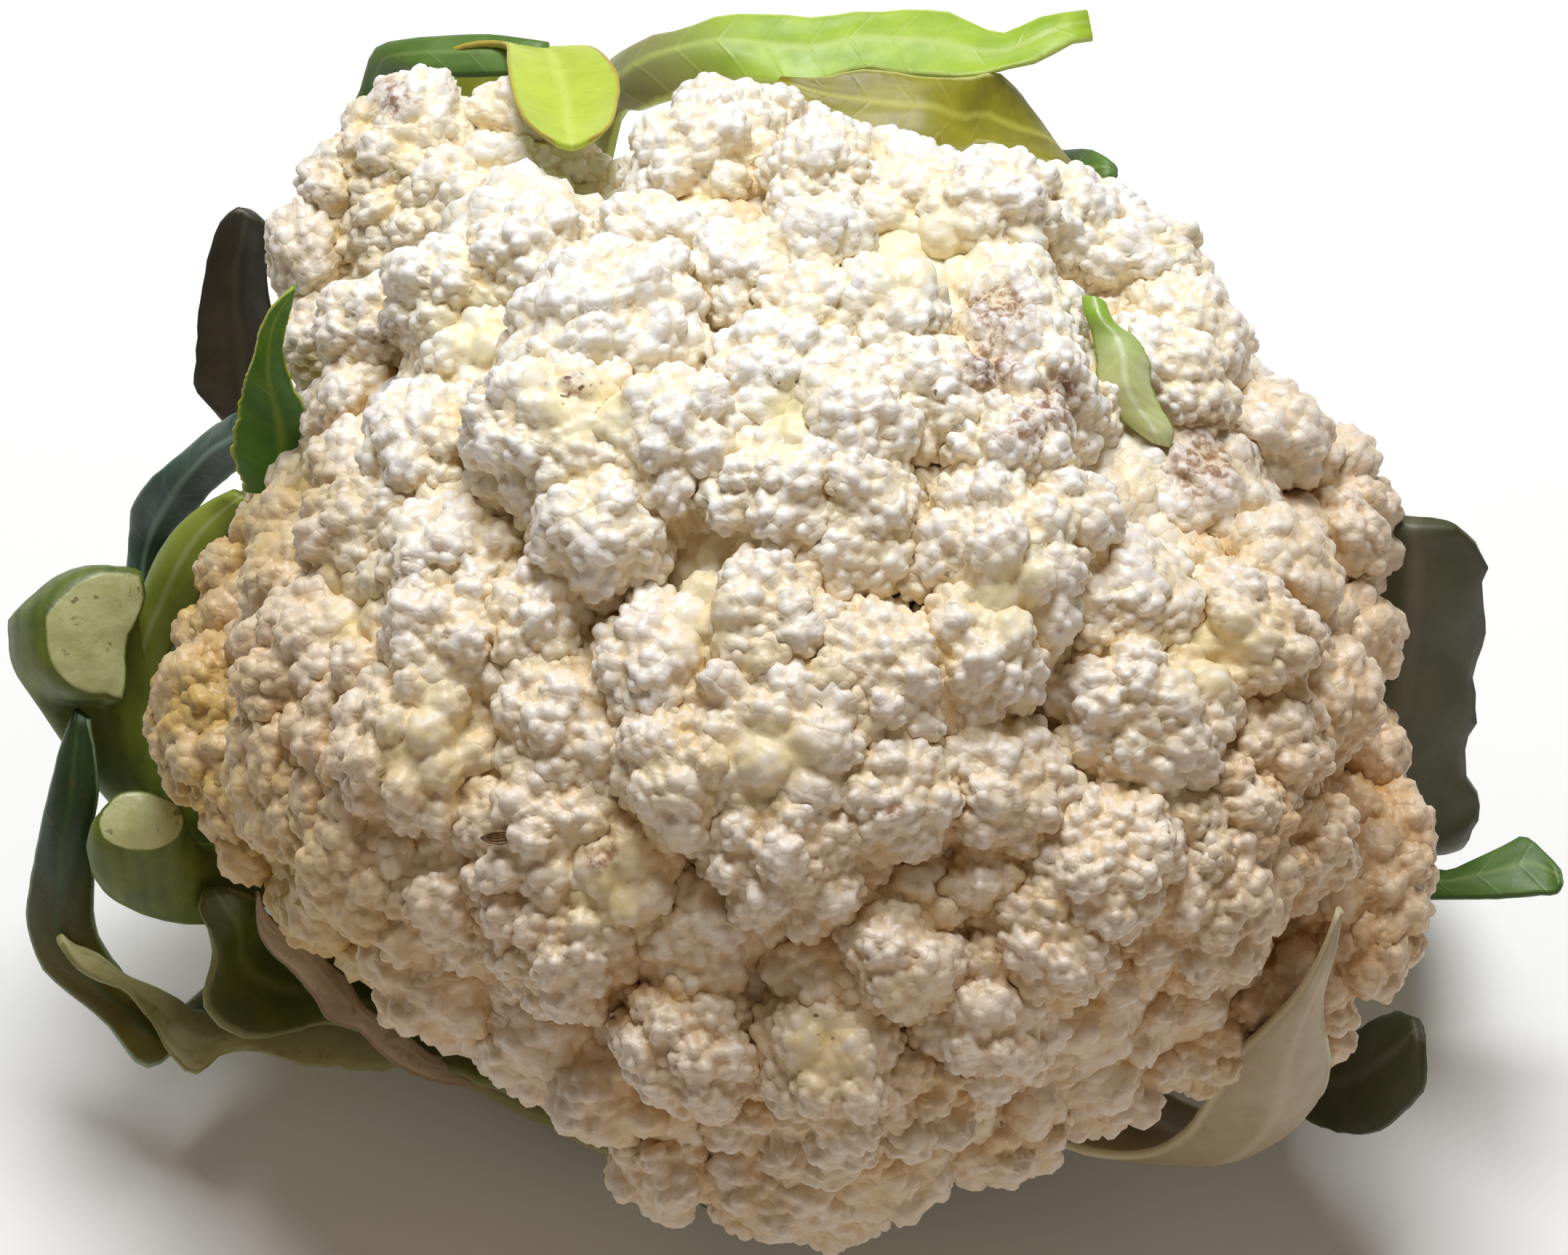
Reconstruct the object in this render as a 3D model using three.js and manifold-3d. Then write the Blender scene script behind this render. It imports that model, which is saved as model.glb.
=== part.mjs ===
// A whole cauliflower trimmed for sale: a head of white curd on a cut stalk, with the
// stumps and torn blades of its wrapper leaves round it. It stands on the stalk's cut face.
// Millimetres, +Z up, origin at the centre of the cut face, the fullest side towards -Y.
import * as THREE from "three";
import { mergeVertices } from "three/addons/utils/BufferGeometryUtils.js";
import Module from "manifold-3d";

const wasm = await Module();
wasm.setup();

// Driving dimensions of the head.
const headCentre = new THREE.Vector3(0, 0, 74);
const curdHalfWidth = 89;
const curdHalfHeight = 68;
const coreInset = 13; // how far the solid middle lies under the florets' tops
const coreLump = 5; // height of the core's own lumps, seen between the florets
const coreWaves = 11;
const coreDetail = 7;
const coreFloor = 24; // underside of the curd, where the stalk ends
const stalkRadius = 26;
const pieceGap = 0.4; // clear space between pieces that grew together
const rootReach = 22; // how far a leaf runs out under the curd, and how much it climbs there
const rootRise = 5;

// Florets and leaves are laid out on an upright plane through the head's centre, which is
// square to the line from an eye point in front of the head and above it.
const eyeElevation = THREE.MathUtils.degToRad(55);
const eyeDistance = 650;
const toEye = new THREE.Vector3(0, -Math.cos(eyeElevation), Math.sin(eyeElevation));
const planeUp = new THREE.Vector3(0, Math.sin(eyeElevation), Math.cos(eyeElevation));
const eye = headCentre.clone().addScaledVector(toEye, eyeDistance);

// Florets by tier. lift: how far a tier stands proud of the head's ellipsoid.
// Each floret is [across, up, radius] on the plane.
const tiers = {
  crown: {
    lift: 3,
    florets: [
      [-50, 72, 14], [-64, 61, 11], [-45, 56, 17], [-33, 69, 9], [-17, 65, 13], [-3, 71, 11],
      [14, 57, 21], [30, 70, 11], [46, 55, 13], [-59, 45, 11], [-41, 43, 12], [-9, 50, 12],
      [31, 38, 14], [55, 41, 10],
    ],
  },
  overhang: {
    lift: 6,
    florets: [[-24, 34, 19], [0, 31, 14], [17, 35, 10], [27, 11, 16], [-50, 27, 10]],
  },
  middle: {
    lift: 3,
    florets: [
      [-57, 17, 11], [-42, 12, 12], [-20, 12, 10], [4, 14, 11], [-1, -10, 23], [46, 10, 12],
      [56, 25, 13], [52, -15, 24], [64, 3, 13], [28, -15, 13], [-50, -7, 25], [-33, -27, 19],
      [-57, -24, 14],
    ],
  },
  chin: {
    lift: -1,
    florets: [
      [-12, -52, 12], [6, -54, 11], [25, -49, 13], [13, -37, 12], [-1, -37, 10], [42, -37, 14],
      [42, -54, 12], [-45, -45, 14], [-30, -53, 12], [-8, -69, 13], [11, -70, 13], [28, -65, 12],
      [58, -49, 14], [-24, -64, 10],
    ],
  },
  flanks: {
    lift: -3,
    florets: [
      [67, 24, 14], [74, 11, 12], [79, -15, 10], [79, -28, 11], [78, -41, 12], [70, -54, 10],
      [-77, 4, 12], [-79, -10, 12], [-72, -25, 13], [-64, -36, 12], [-72, 48, 10], [-72, 30, 12],
    ],
  },
};

// The rest of the head is filled by rule: places on a spiral from under the rim to the top,
// kept where no floret is near. Those that face the eye lie deeper, between the tiers.
const fill = {
  places: 400,
  lowest: THREE.MathUtils.degToRad(-38),
  radius: 18,
  clear: 0.72, // least distance between centres, as a share of the two radii
  facing: -0.25, // from this lean towards the eye a floret counts as facing it
  sunk: 4, // how much deeper such a floret lies
};

// One floret: a ball with lumps raised round its outward side and a stem towards the core.
const lumpBase = 4; // lumps on the smallest floret, and how many more for each millimetre
const lumpMore = 0.55;
const lumpCap = THREE.MathUtils.degToRad(112);
const lumpTop = 1.02; // how far a lump's top reaches, as a share of the floret's radius
const lumpSpread = 1.3; // a lump's share of the radius, for one lump
const lumpSink = 0.9; // how much of a lump's radius stands out of the ball
const stemShare = 0.9; // how far the stem runs inwards, as a share of the radius
const goldenAngle = Math.PI * (3 - Math.sqrt(5));
const facet = 7.6; // wanted length of a facet's edge
const ballEdge = 1.05; // edge of the coarsest ball, as a share of its radius

// Wrapper leaves. bearing: the degrees round the stalk where the leaf grows, from +X towards +Y.
// root: the height where it grows. via: points of the midrib, [across, up] on the plane and height.
// half: half widths from root to tip. rib and blade: thicknesses. ruffle: height of the waves.
// wrap: how closely the blade curls round the head. open: how far it leans out to show its inside.
const leaves = {
  stump_left: {
    bearing: 184, root: 8, rib: [9, 15], blade: 2.4, ruffle: 0, wrap: 0.3, half: [9, 12, 11, 11, 10],
    via: [[-88, -24, 36], [-98, -8, 54], [-99, 4, 74]],
  },
  blade_left_low: {
    bearing: 212, root: 8, rib: [9, 2], blade: 1.4, ruffle: 2, wrap: 0.8, open: 0.3,
    half: [9, 12, 12, 14, 9],
    via: [[-80, -46, 30], [-100, -45, 36], [-105, -31, 50], [-102, -12, 62]],
  },
  blade_left_torn: {
    bearing: 238, root: 8, rib: [9, 1.5], blade: 1.3, ruffle: 1.5, wrap: 0.2, open: 0.5,
    half: [9, 12, 9, 8, 7, 4],
    via: [[-56, -52, 16], [-76, -55, 17], [-88, -52, 20], [-98, -45, 23]],
  },
  blade_left_high: {
    bearing: 157, root: 8, rib: [9, 2], blade: 1.4, ruffle: 1.5, wrap: -0.4, open: 0.8,
    half: [9, 11, 9, 8, 9, 9, 3],
    via: [[-88, -4, 44], [-90, 12, 60], [-86, 27, 78], [-76, 37, 100], [-69, 50, 124]],
  },
  blade_far_left: {
    bearing: 130, root: 8, rib: [9, 2], blade: 1.4, ruffle: 1.5, wrap: 0.9, open: 0.3,
    half: [9, 12, 12, 9],
    via: [[-66, 20, 36], [-77, 38, 60], [-75, 56, 86]],
  },
  blade_top: {
    bearing: 102, root: 8, rib: [9, 3], blade: 1.5, ruffle: 2, wrap: 0.2,
    half: [9, 11, 8, 7, 8, 11, 10, 6],
    via: [[-30, 54, 44], [-27, 75, 82], [-17, 84.5, 99], [4, 86, 104], [24, 86, 106], [42, 89, 107]],
  },
  blade_back: {
    bearing: 58, root: 8, rib: [9, 2], blade: 1.6, ruffle: 1, wrap: 0.5, half: [9, 12, 12, 9, 6],
    via: [[42, 42, 40], [47, 60, 66], [43, 68, 94]],
  },
  blade_right: {
    bearing: 18, root: 8, rib: [9, 3], blade: 1.6, ruffle: 1.5, wrap: 0.9, open: 0.3,
    half: [9, 13, 19, 20, 16],
    via: [[84, -6, 34], [91, -2, 54], [89, 8, 78]],
  },
  blade_right_low: {
    bearing: 338, root: 8, rib: [9, 2], blade: 1.5, ruffle: 1, wrap: 0.7, half: [9, 12, 11, 10],
    via: [[70, -58, 18], [79, -61, 27], [82, -57, 38]],
  },
  stump_front_right: {
    bearing: 296, root: 8, rib: [9, 10], blade: 2.4, ruffle: 0, wrap: 0.5, half: [9, 12, 11],
    via: [[22, -67, 17], [25, -69, 22]],
  },
  stump_front_left: {
    bearing: 264, root: 8, rib: [9, 10], blade: 2.4, ruffle: 0, wrap: 0.5, half: [9, 12, 11],
    via: [[-8, -71, 17], [-9, -73, 24]],
  },
  stump_lower_left: {
    bearing: 198, root: 19, rib: [8, 12], blade: 2.2, ruffle: 0, wrap: 0.3, half: [8, 10, 9.5, 9],
    via: [[-76, -36, 34], [-88, -32, 46], [-90, -23, 60]],
  },
  sheath_left: {
    bearing: 168, root: 19, rib: [8, 3], blade: 1.6, ruffle: 0.5, wrap: 0.5, half: [8, 10, 9, 7, 5],
    via: [[-78, -14, 38], [-86, 0, 54], [-84, 14, 64], [-77, 24, 74]],
  },
  blade_top_left: {
    bearing: 122, root: 19, rib: [8, 2], blade: 1.3, ruffle: 1, wrap: 0.6,
    half: [8, 10, 9, 8, 8, 4],
    via: [[-44, 44, 44], [-46, 68, 76], [-42, 85, 102], [-34, 80, 120], [-32, 74, 127]],
  },
  blade_behind_left: {
    bearing: 146, root: 19, rib: [8, 1.5], blade: 1.3, ruffle: 0.8, wrap: 0.5,
    half: [8, 10, 8, 6, 4.5, 4, 3],
    via: [[-52, 36, 44], [-60, 64, 76], [-58, 81, 97], [-46, 85, 105], [-33, 86, 108]],
  },
  blade_top_right: {
    bearing: 78, root: 19, rib: [8, 2], blade: 1.3, ruffle: 1.5, wrap: 0.4,
    half: [8, 10, 10, 10, 9, 6],
    via: [[30, 44, 44], [38, 64, 76], [33, 74, 100], [20, 80, 110], [4, 82, 108]],
  },
  stump_right: {
    bearing: 40, root: 19, rib: [8, 9], blade: 2, ruffle: 0, wrap: 0.4, half: [8, 10, 9],
    via: [[60, 22, 40], [66, 34, 58]],
  },
  blade_far_right: {
    bearing: 357, root: 19, rib: [8, 1.5], blade: 1.3, ruffle: 1, wrap: 0.1, half: [8, 10, 8, 7, 3],
    via: [[76, -26, 28], [90, -28, 34], [100, -29, 38], [108, -31, 40]],
  },
  blade_pale: {
    bearing: 316, root: 19, rib: [8, 1.5], blade: 1.6, ruffle: 0.5, wrap: 0.9,
    half: [8, 12, 12, 11, 9, 6, 2],
    via: [[48, -72, 26], [61, -68, 42], [69, -58, 62], [75, -46, 80], [77, -34, 94]],
  },
  blade_lower_left: {
    bearing: 228, root: 19, rib: [8, 3], blade: 2, ruffle: 0.8, wrap: 0.9, open: 0.2,
    half: [8, 12, 16, 17],
    via: [[-48, -62, 20], [-64, -53, 32], [-70, -43, 46]],
  },
};

// A torn scrap of leaf that lies on the curd's right shoulder, cut by the florets under it.
const scrap = {
  rib: [1.6, 1.2], blade: 1.1, ruffle: 1, wrap: 0.5, half: [3, 5, 5, 3.5],
  via: [[50, 31, 116], [47, 37, 120], [45, 44, 122], [42, 50, 124]],
};

const leafSteps = { across: 4, along: 9 };
const stumpSteps = { across: 6, along: 5 };
const ribOutside = 0.8; // share of the rib's bulge on the leaf's outer face
const ribFall = 1.6; // how sharply the rib thins towards the blade
const ragged = 0.22; // unevenness of a torn edge, as a share of the half width
const wavesAlong = 9;
const wavesAcross = 2;

// A repeatable number from 0 to 1 for each whole number.
function chance(n) {
  const x = Math.sin(n * 12.9898 + 4.1414) * 43758.5453;
  return x - Math.floor(x);
}

function onPlane(across, up) {
  return headCentre.clone().add(new THREE.Vector3(across, 0, 0)).addScaledVector(planeUp, up);
}

// The point at a height above the table on the line of sight through the plane.
function seenAt([across, up, height]) {
  const sight = onPlane(across, up).sub(eye);
  return eye.clone().addScaledVector(sight, (height - eye.z) / sight.z);
}

// Where the line of sight first meets the ellipsoid, or passes closest to it.
function onHead(across, up, inset) {
  const half = new THREE.Vector3(1, 1, 1).multiplyScalar(curdHalfWidth - inset);
  half.z = curdHalfHeight - inset;
  const from = eye.clone().sub(headCentre).divide(half);
  const way = onPlane(across, up).sub(eye).divide(half);
  const a = way.dot(way);
  const b = from.dot(way);
  const c = from.dot(from) - 1;
  const share = (-b - Math.sqrt(Math.max(0, b * b - a * c))) / a;
  return from.addScaledVector(way, share).multiply(half).add(headCentre);
}

// The way out of the head at a point: square to the ellipsoid.
function outwardAt(point) {
  const way = point.clone().sub(headCentre);
  way.x /= curdHalfWidth ** 2;
  way.y /= curdHalfWidth ** 2;
  way.z /= curdHalfHeight ** 2;
  return way.normalize();
}

function seenFlorets() {
  return Object.values(tiers).flatMap(({ lift, florets }) =>
    florets.map(([across, up, radius]) => {
      const centre = onHead(across, up, radius - lift);
      return { centre, radius, outward: outwardAt(centre) };
    })
  );
}

function fillFlorets(placed) {
  const bottom = Math.sin(fill.lowest);
  const kept = [];
  for (let k = 0; k < fill.places; k++) {
    const rise = bottom + ((1 - bottom) * (k + 0.5)) / fill.places;
    const level = Math.sqrt(1 - rise * rise);
    const turn = k * goldenAngle + 0.5 * chance(k);
    const way = new THREE.Vector3(Math.cos(turn) * level, Math.sin(turn) * level, rise);
    const radius = fill.radius * (0.88 + 0.24 * chance(k * 91));
    const inset = radius + (way.dot(toEye) > fill.facing ? fill.sunk : 0);
    const centre = way.clone().multiplyScalar(curdHalfWidth - inset);
    centre.z = way.z * (curdHalfHeight - inset);
    centre.add(headCentre);
    const crowded = [...placed, ...kept].some(
      (other) => other.centre.distanceTo(centre) < fill.clear * (other.radius + radius)
    );
    if (!crowded) kept.push({ centre, radius, outward: outwardAt(centre) });
  }
  return kept;
}

// The lumps of a floret: centres and radii as shares of its radius, spiralled round its top.
function lumpsOf({ outward, radius }, seed) {
  const turn = new THREE.Quaternion().setFromUnitVectors(new THREE.Vector3(0, 0, 1), outward);
  const count = Math.round(lumpBase + lumpMore * radius);
  const share = lumpSpread / Math.sqrt(count);
  return Array.from({ length: count }, (_, k) => {
    const lean = Math.acos(1 - ((k + 0.4) / count) * (1 - Math.cos(lumpCap)));
    const round = k * goldenAngle + 6.28 * chance(seed);
    const way = new THREE.Vector3(
      Math.sin(lean) * Math.cos(round),
      Math.sin(lean) * Math.sin(round),
      Math.cos(lean)
    ).applyQuaternion(turn);
    const size = share * (0.9 + 0.2 * chance(seed * 17 + k));
    return { centre: way.multiplyScalar(lumpTop - share), size };
  });
}

// How far a floret's surface lies from its centre along a direction, as a share of its radius.
function floretReach(way, outward, lumps) {
  const inwards = Math.max(0, -way.dot(outward));
  let reach = lumpTop - lumpSink * lumps[0].size + stemShare * inwards ** 6;
  for (const { centre, size } of lumps) {
    const along = way.dot(centre);
    const rest = size * size - centre.lengthSq() + along * along;
    if (along > 0 && rest > 0) reach = Math.max(reach, along + Math.sqrt(rest));
  }
  return reach;
}

function solidOf(geometry) {
  geometry.deleteAttribute("normal");
  geometry.deleteAttribute("uv");
  const merged = mergeVertices(geometry, 1e-4);
  return new wasm.Manifold(
    new wasm.Mesh({
      numProp: 3,
      vertProperties: merged.attributes.position.array,
      triVerts: new Uint32Array(merged.index.array),
    })
  );
}

// The largest body of a solid: a hollow closed between florets and a scrap left by a cut both go.
function largestBody(solid) {
  return solid.decompose().sort((a, b) => b.volume() - a.volume())[0];
}

function floretSolid(floret, seed, grow = 0) {
  const { centre, outward, radius } = floret;
  const lumps = lumpsOf(floret, seed);
  const detail = Math.max(1, Math.round((ballEdge * radius) / facet) - 1);
  const ball = new THREE.IcosahedronGeometry(1, detail);
  const position = ball.attributes.position;
  const way = new THREE.Vector3();
  for (let i = 0; i < position.count; i++) {
    way.fromBufferAttribute(position, i).normalize();
    const reach = floretReach(way, outward, lumps) * radius + grow;
    way.multiplyScalar(reach).add(centre);
    position.setXYZ(i, way.x, way.y, way.z);
  }
  return solidOf(ball);
}

// The middle of the head: a lumpy ellipsoid cut off flat where the stalk ends.
function coreSolid(grow = 0) {
  const ball = new THREE.IcosahedronGeometry(1, coreDetail);
  const position = ball.attributes.position;
  const point = new THREE.Vector3();
  for (let i = 0; i < position.count; i++) {
    point.fromBufferAttribute(position, i).normalize();
    const { x, y, z } = point;
    const lump = Math.sin(coreWaves * x + 1) * Math.sin(coreWaves * y) * Math.sin(coreWaves * z + 2);
    const inset = coreInset - grow - coreLump * Math.abs(lump);
    point.set(x * (curdHalfWidth - inset), y * (curdHalfWidth - inset), z * (curdHalfHeight - inset));
    point.add(headCentre);
    position.setXYZ(i, point.x, point.y, Math.max(point.z, coreFloor - grow));
  }
  return solidOf(ball);
}

// The curd: core and florets fused into one body.
function curdSolid(grow = 0) {
  const seen = seenFlorets();
  const florets = [...seen, ...fillFlorets(seen)];
  return largestBody(
    wasm.Manifold.union([
      coreSolid(grow),
      ...florets.map((floret, seed) => floretSolid(floret, seed + 1, grow)),
    ])
  );
}

function stalkSolid(grow = 0) {
  const top = coreFloor - pieceGap + grow;
  const profile = [
    [0, -grow],
    [stalkRadius - 2.5, -grow],
    [stalkRadius - 1, 1],
    [stalkRadius - 0.5, 5],
    [stalkRadius - 2, 13],
    [stalkRadius - 1, 17],
    [stalkRadius - 2, top],
    [0, top],
  ].map(([radius, height]) => new THREE.Vector2(radius && radius + grow, height));
  return solidOf(new THREE.LatheGeometry(profile, 24).rotateX(Math.PI / 2));
}

// A closed sheet: two faces of one grid, split alike, joined round the rim.
// place(across, along, side) puts a grid point, across from -1 to 1, along from 0 to 1.
function sheetSolid({ across, along }, place) {
  const grid = new THREE.PlaneGeometry(2, 1, across, along);
  const flat = grid.attributes.position;
  const points = [];
  for (const side of [1, -1]) {
    for (let i = 0; i < flat.count; i++) {
      points.push(...place(flat.getX(i), flat.getY(i) + 0.5, side).toArray());
    }
  }
  const front = Array.from(grid.index.array);
  const faces = [...front];
  for (let i = 0; i < front.length; i += 3) {
    faces.push(front[i] + flat.count, front[i + 2] + flat.count, front[i + 1] + flat.count);
  }
  const row = across + 1;
  const rim = [];
  for (let i = 0; i < across; i++) rim.push(i);
  for (let j = 0; j < along; j++) rim.push(across + j * row);
  for (let i = across; i > 0; i--) rim.push(along * row + i);
  for (let j = along; j > 0; j--) rim.push(j * row);
  rim.forEach((from, i) => {
    const to = rim[(i + 1) % rim.length];
    faces.push(from, to, to + flat.count, from, to + flat.count, from + flat.count);
  });
  const made = new THREE.BufferGeometry();
  made.setAttribute("position", new THREE.Float32BufferAttribute(points, 3));
  made.setIndex(faces);
  return made;
}

// The value of a list of numbers at a share of the way along it.
function valueAlong(list, share) {
  const at = share * (list.length - 1);
  const low = Math.min(Math.floor(at), list.length - 2);
  return THREE.MathUtils.lerp(list[low], list[low + 1], THREE.MathUtils.smoothstep(at - low, 0, 1));
}

// The line of a leaf's midrib, from the stalk out under the curd and up to the tip.
function midribOf({ bearing, root, via }) {
  const points = via.map(seenAt);
  if (bearing !== undefined) {
    const turn = THREE.MathUtils.degToRad(bearing);
    const under = (radius, height) =>
      new THREE.Vector3(Math.cos(turn) * radius, Math.sin(turn) * radius, height);
    points.unshift(
      under(stalkRadius + pieceGap, root),
      under(stalkRadius + rootReach, root + rootRise)
    );
  }
  return new THREE.CatmullRomCurve3(points, false, "centripetal");
}

function leafSolid(leaf, seed, grow = 0) {
  const midrib = midribOf(leaf);
  const steps = leaf.ruffle ? leafSteps : stumpSteps;
  const made = sheetSolid(steps, (across, along, side) => {
    const point = midrib.getPointAt(along);
    const forward = midrib.getTangentAt(along);
    const back = point.clone().sub(headCentre).normalize();
    back.addScaledVector(toEye, -(leaf.open ?? 0) * along);
    back.addScaledVector(forward, -back.dot(forward)).normalize();
    const sideways = forward.clone().cross(back);

    const tear = leaf.ruffle ? ragged * (chance(seed * 7 + Math.round(along * 10) + across) - 0.5) : 0;
    const half = valueAlong(leaf.half, along) * (1 + tear * Math.abs(across)) + grow;
    const reach = across * half;
    const wave = leaf.ruffle * across ** 2 * Math.sin(wavesAlong * along + wavesAcross * across + seed);
    const hug = (leaf.wrap * reach * reach) / curdHalfWidth;

    const rib = THREE.MathUtils.lerp(leaf.rib[0], leaf.rib[1], along);
    const bulge = Math.max(0, (rib - leaf.blade) * (1 - Math.abs(across) ** ribFall));
    const outer = leaf.blade / 2 + ribOutside * bulge + grow;
    const inner = leaf.blade / 2 + (1 - ribOutside) * bulge + grow;
    const height = wave - hug + (side > 0 ? outer : -inner);
    return point.addScaledVector(sideways, reach).addScaledVector(back, height);
  });
  return solidOf(made);
}

function meshOf(name, solid, material) {
  const { numProp, numVert, vertProperties, triVerts } = solid.getMesh();
  const points = new Float32Array(numVert * 3);
  for (let i = 0; i < numVert; i++) {
    points.set(vertProperties.subarray(i * numProp, i * numProp + 3), i * 3);
  }
  const geometry = new THREE.BufferGeometry();
  geometry.setAttribute("position", new THREE.BufferAttribute(points, 3));
  geometry.setIndex(new THREE.BufferAttribute(triVerts, 1));
  geometry.computeVertexNormals();
  const mesh = new THREE.Mesh(geometry, material);
  mesh.name = name;
  return mesh;
}

const matt = (color, roughness) => new THREE.MeshStandardMaterial({ color, roughness, metalness: 0 });
const curdWhite = matt(0xf0e6cf, 0.55);
const stalkGreen = matt(0xd3d8a8, 0.6);
const leafGreen = matt(0x5d8a2c, 0.5);
const leafDark = matt(0x3c5a2a, 0.5);
const leafPale = matt(0xcfcf9d, 0.55);
const leafColour = {
  stump: stalkGreen,
  sheath: leafPale,
  blade_pale: leafPale,
  blade_right: leafDark,
  blade_left_low: leafDark,
  blade_far_left: leafDark,
};

function colourOf(name) {
  return leafColour[name] ?? leafColour[name.split("_")[0]] ?? leafGreen;
}

const cauliflower = new THREE.Group();
cauliflower.add(meshOf("curd", curdSolid(), curdWhite));
cauliflower.add(meshOf("stalk", stalkSolid(), stalkGreen));

// Each leaf is cut clear of the curd, the stalk and the leaves before it.
let taken = curdSolid(pieceGap).add(stalkSolid(pieceGap));
Object.entries(leaves).forEach(([name, leaf], seed) => {
  const kept = largestBody(leafSolid(leaf, seed).subtract(taken));
  cauliflower.add(meshOf(name, kept, colourOf(name)));
  taken = taken.add(leafSolid(leaf, seed, pieceGap));
});
cauliflower.add(meshOf("leaf_scrap", largestBody(leafSolid(scrap, 40).subtract(taken)), leafPale));

export default cauliflower;
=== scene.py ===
# A whole cauliflower: knobbly white curd in overhanging tiers, wrapper leaves and a cut stalk.
# It is laid out in millimetres in the frame's axes, and each mesh is scaled to metres at the end.
import math

import bmesh
import bpy
import numpy as np
from mathutils import Matrix, Vector


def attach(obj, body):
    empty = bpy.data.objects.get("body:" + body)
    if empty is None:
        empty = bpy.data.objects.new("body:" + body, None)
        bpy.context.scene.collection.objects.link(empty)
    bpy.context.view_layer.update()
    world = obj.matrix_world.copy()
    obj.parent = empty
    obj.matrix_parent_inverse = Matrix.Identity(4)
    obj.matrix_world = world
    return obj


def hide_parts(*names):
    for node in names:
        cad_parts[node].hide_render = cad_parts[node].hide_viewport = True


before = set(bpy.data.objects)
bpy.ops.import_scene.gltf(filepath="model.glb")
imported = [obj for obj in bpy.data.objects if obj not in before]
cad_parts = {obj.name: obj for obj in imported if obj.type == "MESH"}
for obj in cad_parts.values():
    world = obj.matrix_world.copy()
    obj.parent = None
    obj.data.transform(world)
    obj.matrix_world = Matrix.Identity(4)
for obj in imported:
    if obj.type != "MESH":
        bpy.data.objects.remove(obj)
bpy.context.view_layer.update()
mm = 0.001

# the head, and the eye point that florets and leaves are laid out from
head = {"centre": (0, 0, 74), "halfWidth": 89, "halfHeight": 68}
eye = {"elevation": 55, "distance": 650}

headCentre = np.array(head["centre"], float)
halfSizes = np.array([head["halfWidth"], head["halfWidth"], head["halfHeight"]], float)
lean = math.radians(eye["elevation"])
toEye = np.array([0, -math.cos(lean), math.sin(lean)])
planeUp = np.array([0, math.sin(lean), math.cos(lean)])
eyePoint = headCentre + toEye * eye["distance"]
goldenAngle = math.pi * (3 - math.sqrt(5))


def unit(vectors):  # length one along the last axis
    return vectors / np.maximum(np.linalg.norm(vectors, axis=-1, keepdims=True), 1e-9)


def onPlane(across, up):
    return headCentre + np.array([across, 0, 0]) + planeUp * up


def seenAt(across, up, height):  # the point at that height on the line of sight
    sight = onPlane(across, up) - eyePoint
    return eyePoint + sight * ((height - eyePoint[2]) / sight[2])


def onHead(across, up, inset):  # where the line of sight first meets the head, shrunk by inset
    half = halfSizes - inset
    start = (eyePoint - headCentre) / half
    way = (onPlane(across, up) - eyePoint) / half
    a, b, c = way @ way, start @ way, start @ start - 1
    share = (-b - math.sqrt(max(0, b * b - a * c))) / a
    return (start + way * share) * half + headCentre


def outwardAt(points):
    return unit((points - headCentre) / halfSizes ** 2)


def insetOf(points):  # how far inside the head's ellipsoid
    scaled = (points - headCentre) / halfSizes
    size = np.linalg.norm(scaled, axis=-1)
    return (1 - size) * np.linalg.norm(points - headCentre, axis=-1) / np.maximum(size, 1e-6)


def acrossUp(points):  # where points are seen on the plane
    sight = points - eyePoint
    share = eye["distance"] / np.maximum(-(sight @ toEye), 1e-6)
    onIt = eyePoint + sight * share[:, None] - headCentre
    return onIt[:, 0], onIt @ planeUp


def wobble(points, size, seed):  # smooth unevenness from -1 to 1, with swells about that size
    p = np.asarray(points) * (2.2 / size) + seed * 3.7
    x, y, z = p[..., 0], p[..., 1], p[..., 2]
    return (
        np.sin(x + 1.7 * np.sin(0.9 * y + seed))
        + np.sin(1.1 * y + 1.9 * np.sin(1.2 * z + 2 * seed))
        + np.sin(0.9 * z + 1.8 * np.sin(0.8 * x + 3 * seed))
    ) / 3


def smoothStep(low, high, values):
    t = np.clip((values - low) / (high - low), 0, 1)
    return t * t * (3 - 2 * t)


# the curd's outline on the plane, clockwise from the top left: no floret may reach past it
outline = [
    [-72.6, 61.6], [-67, 70.4], [-58.3, 81.4], [-39.6, 83.1], [-25.3, 79], [-15.4, 80.3], [-5.5, 80.9],
    [5.5, 77], [15.4, 74], [37.4, 70.4], [51.7, 62.7], [61.6, 53.9], [65.5, 42.9], [75.9, 34.1],
    [83.6, 20.9], [86, -6.6], [90.2, -28.6], [89.1, -39.6], [80.3, -56.1], [69.3, -61.6], [47.3, -66],
    [25.3, -77], [15.4, -81.5], [-12.1, -81], [-27.5, -72.6], [-29.7, -66], [-42.9, -60.5], [-58.3, -47],
    [-78.1, -32], [-89.1, -12.1], [-89.1, 1], [-80.3, 17.6], [-73, 30.8], [-75, 48.4], [-76, 56.1],
]


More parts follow.
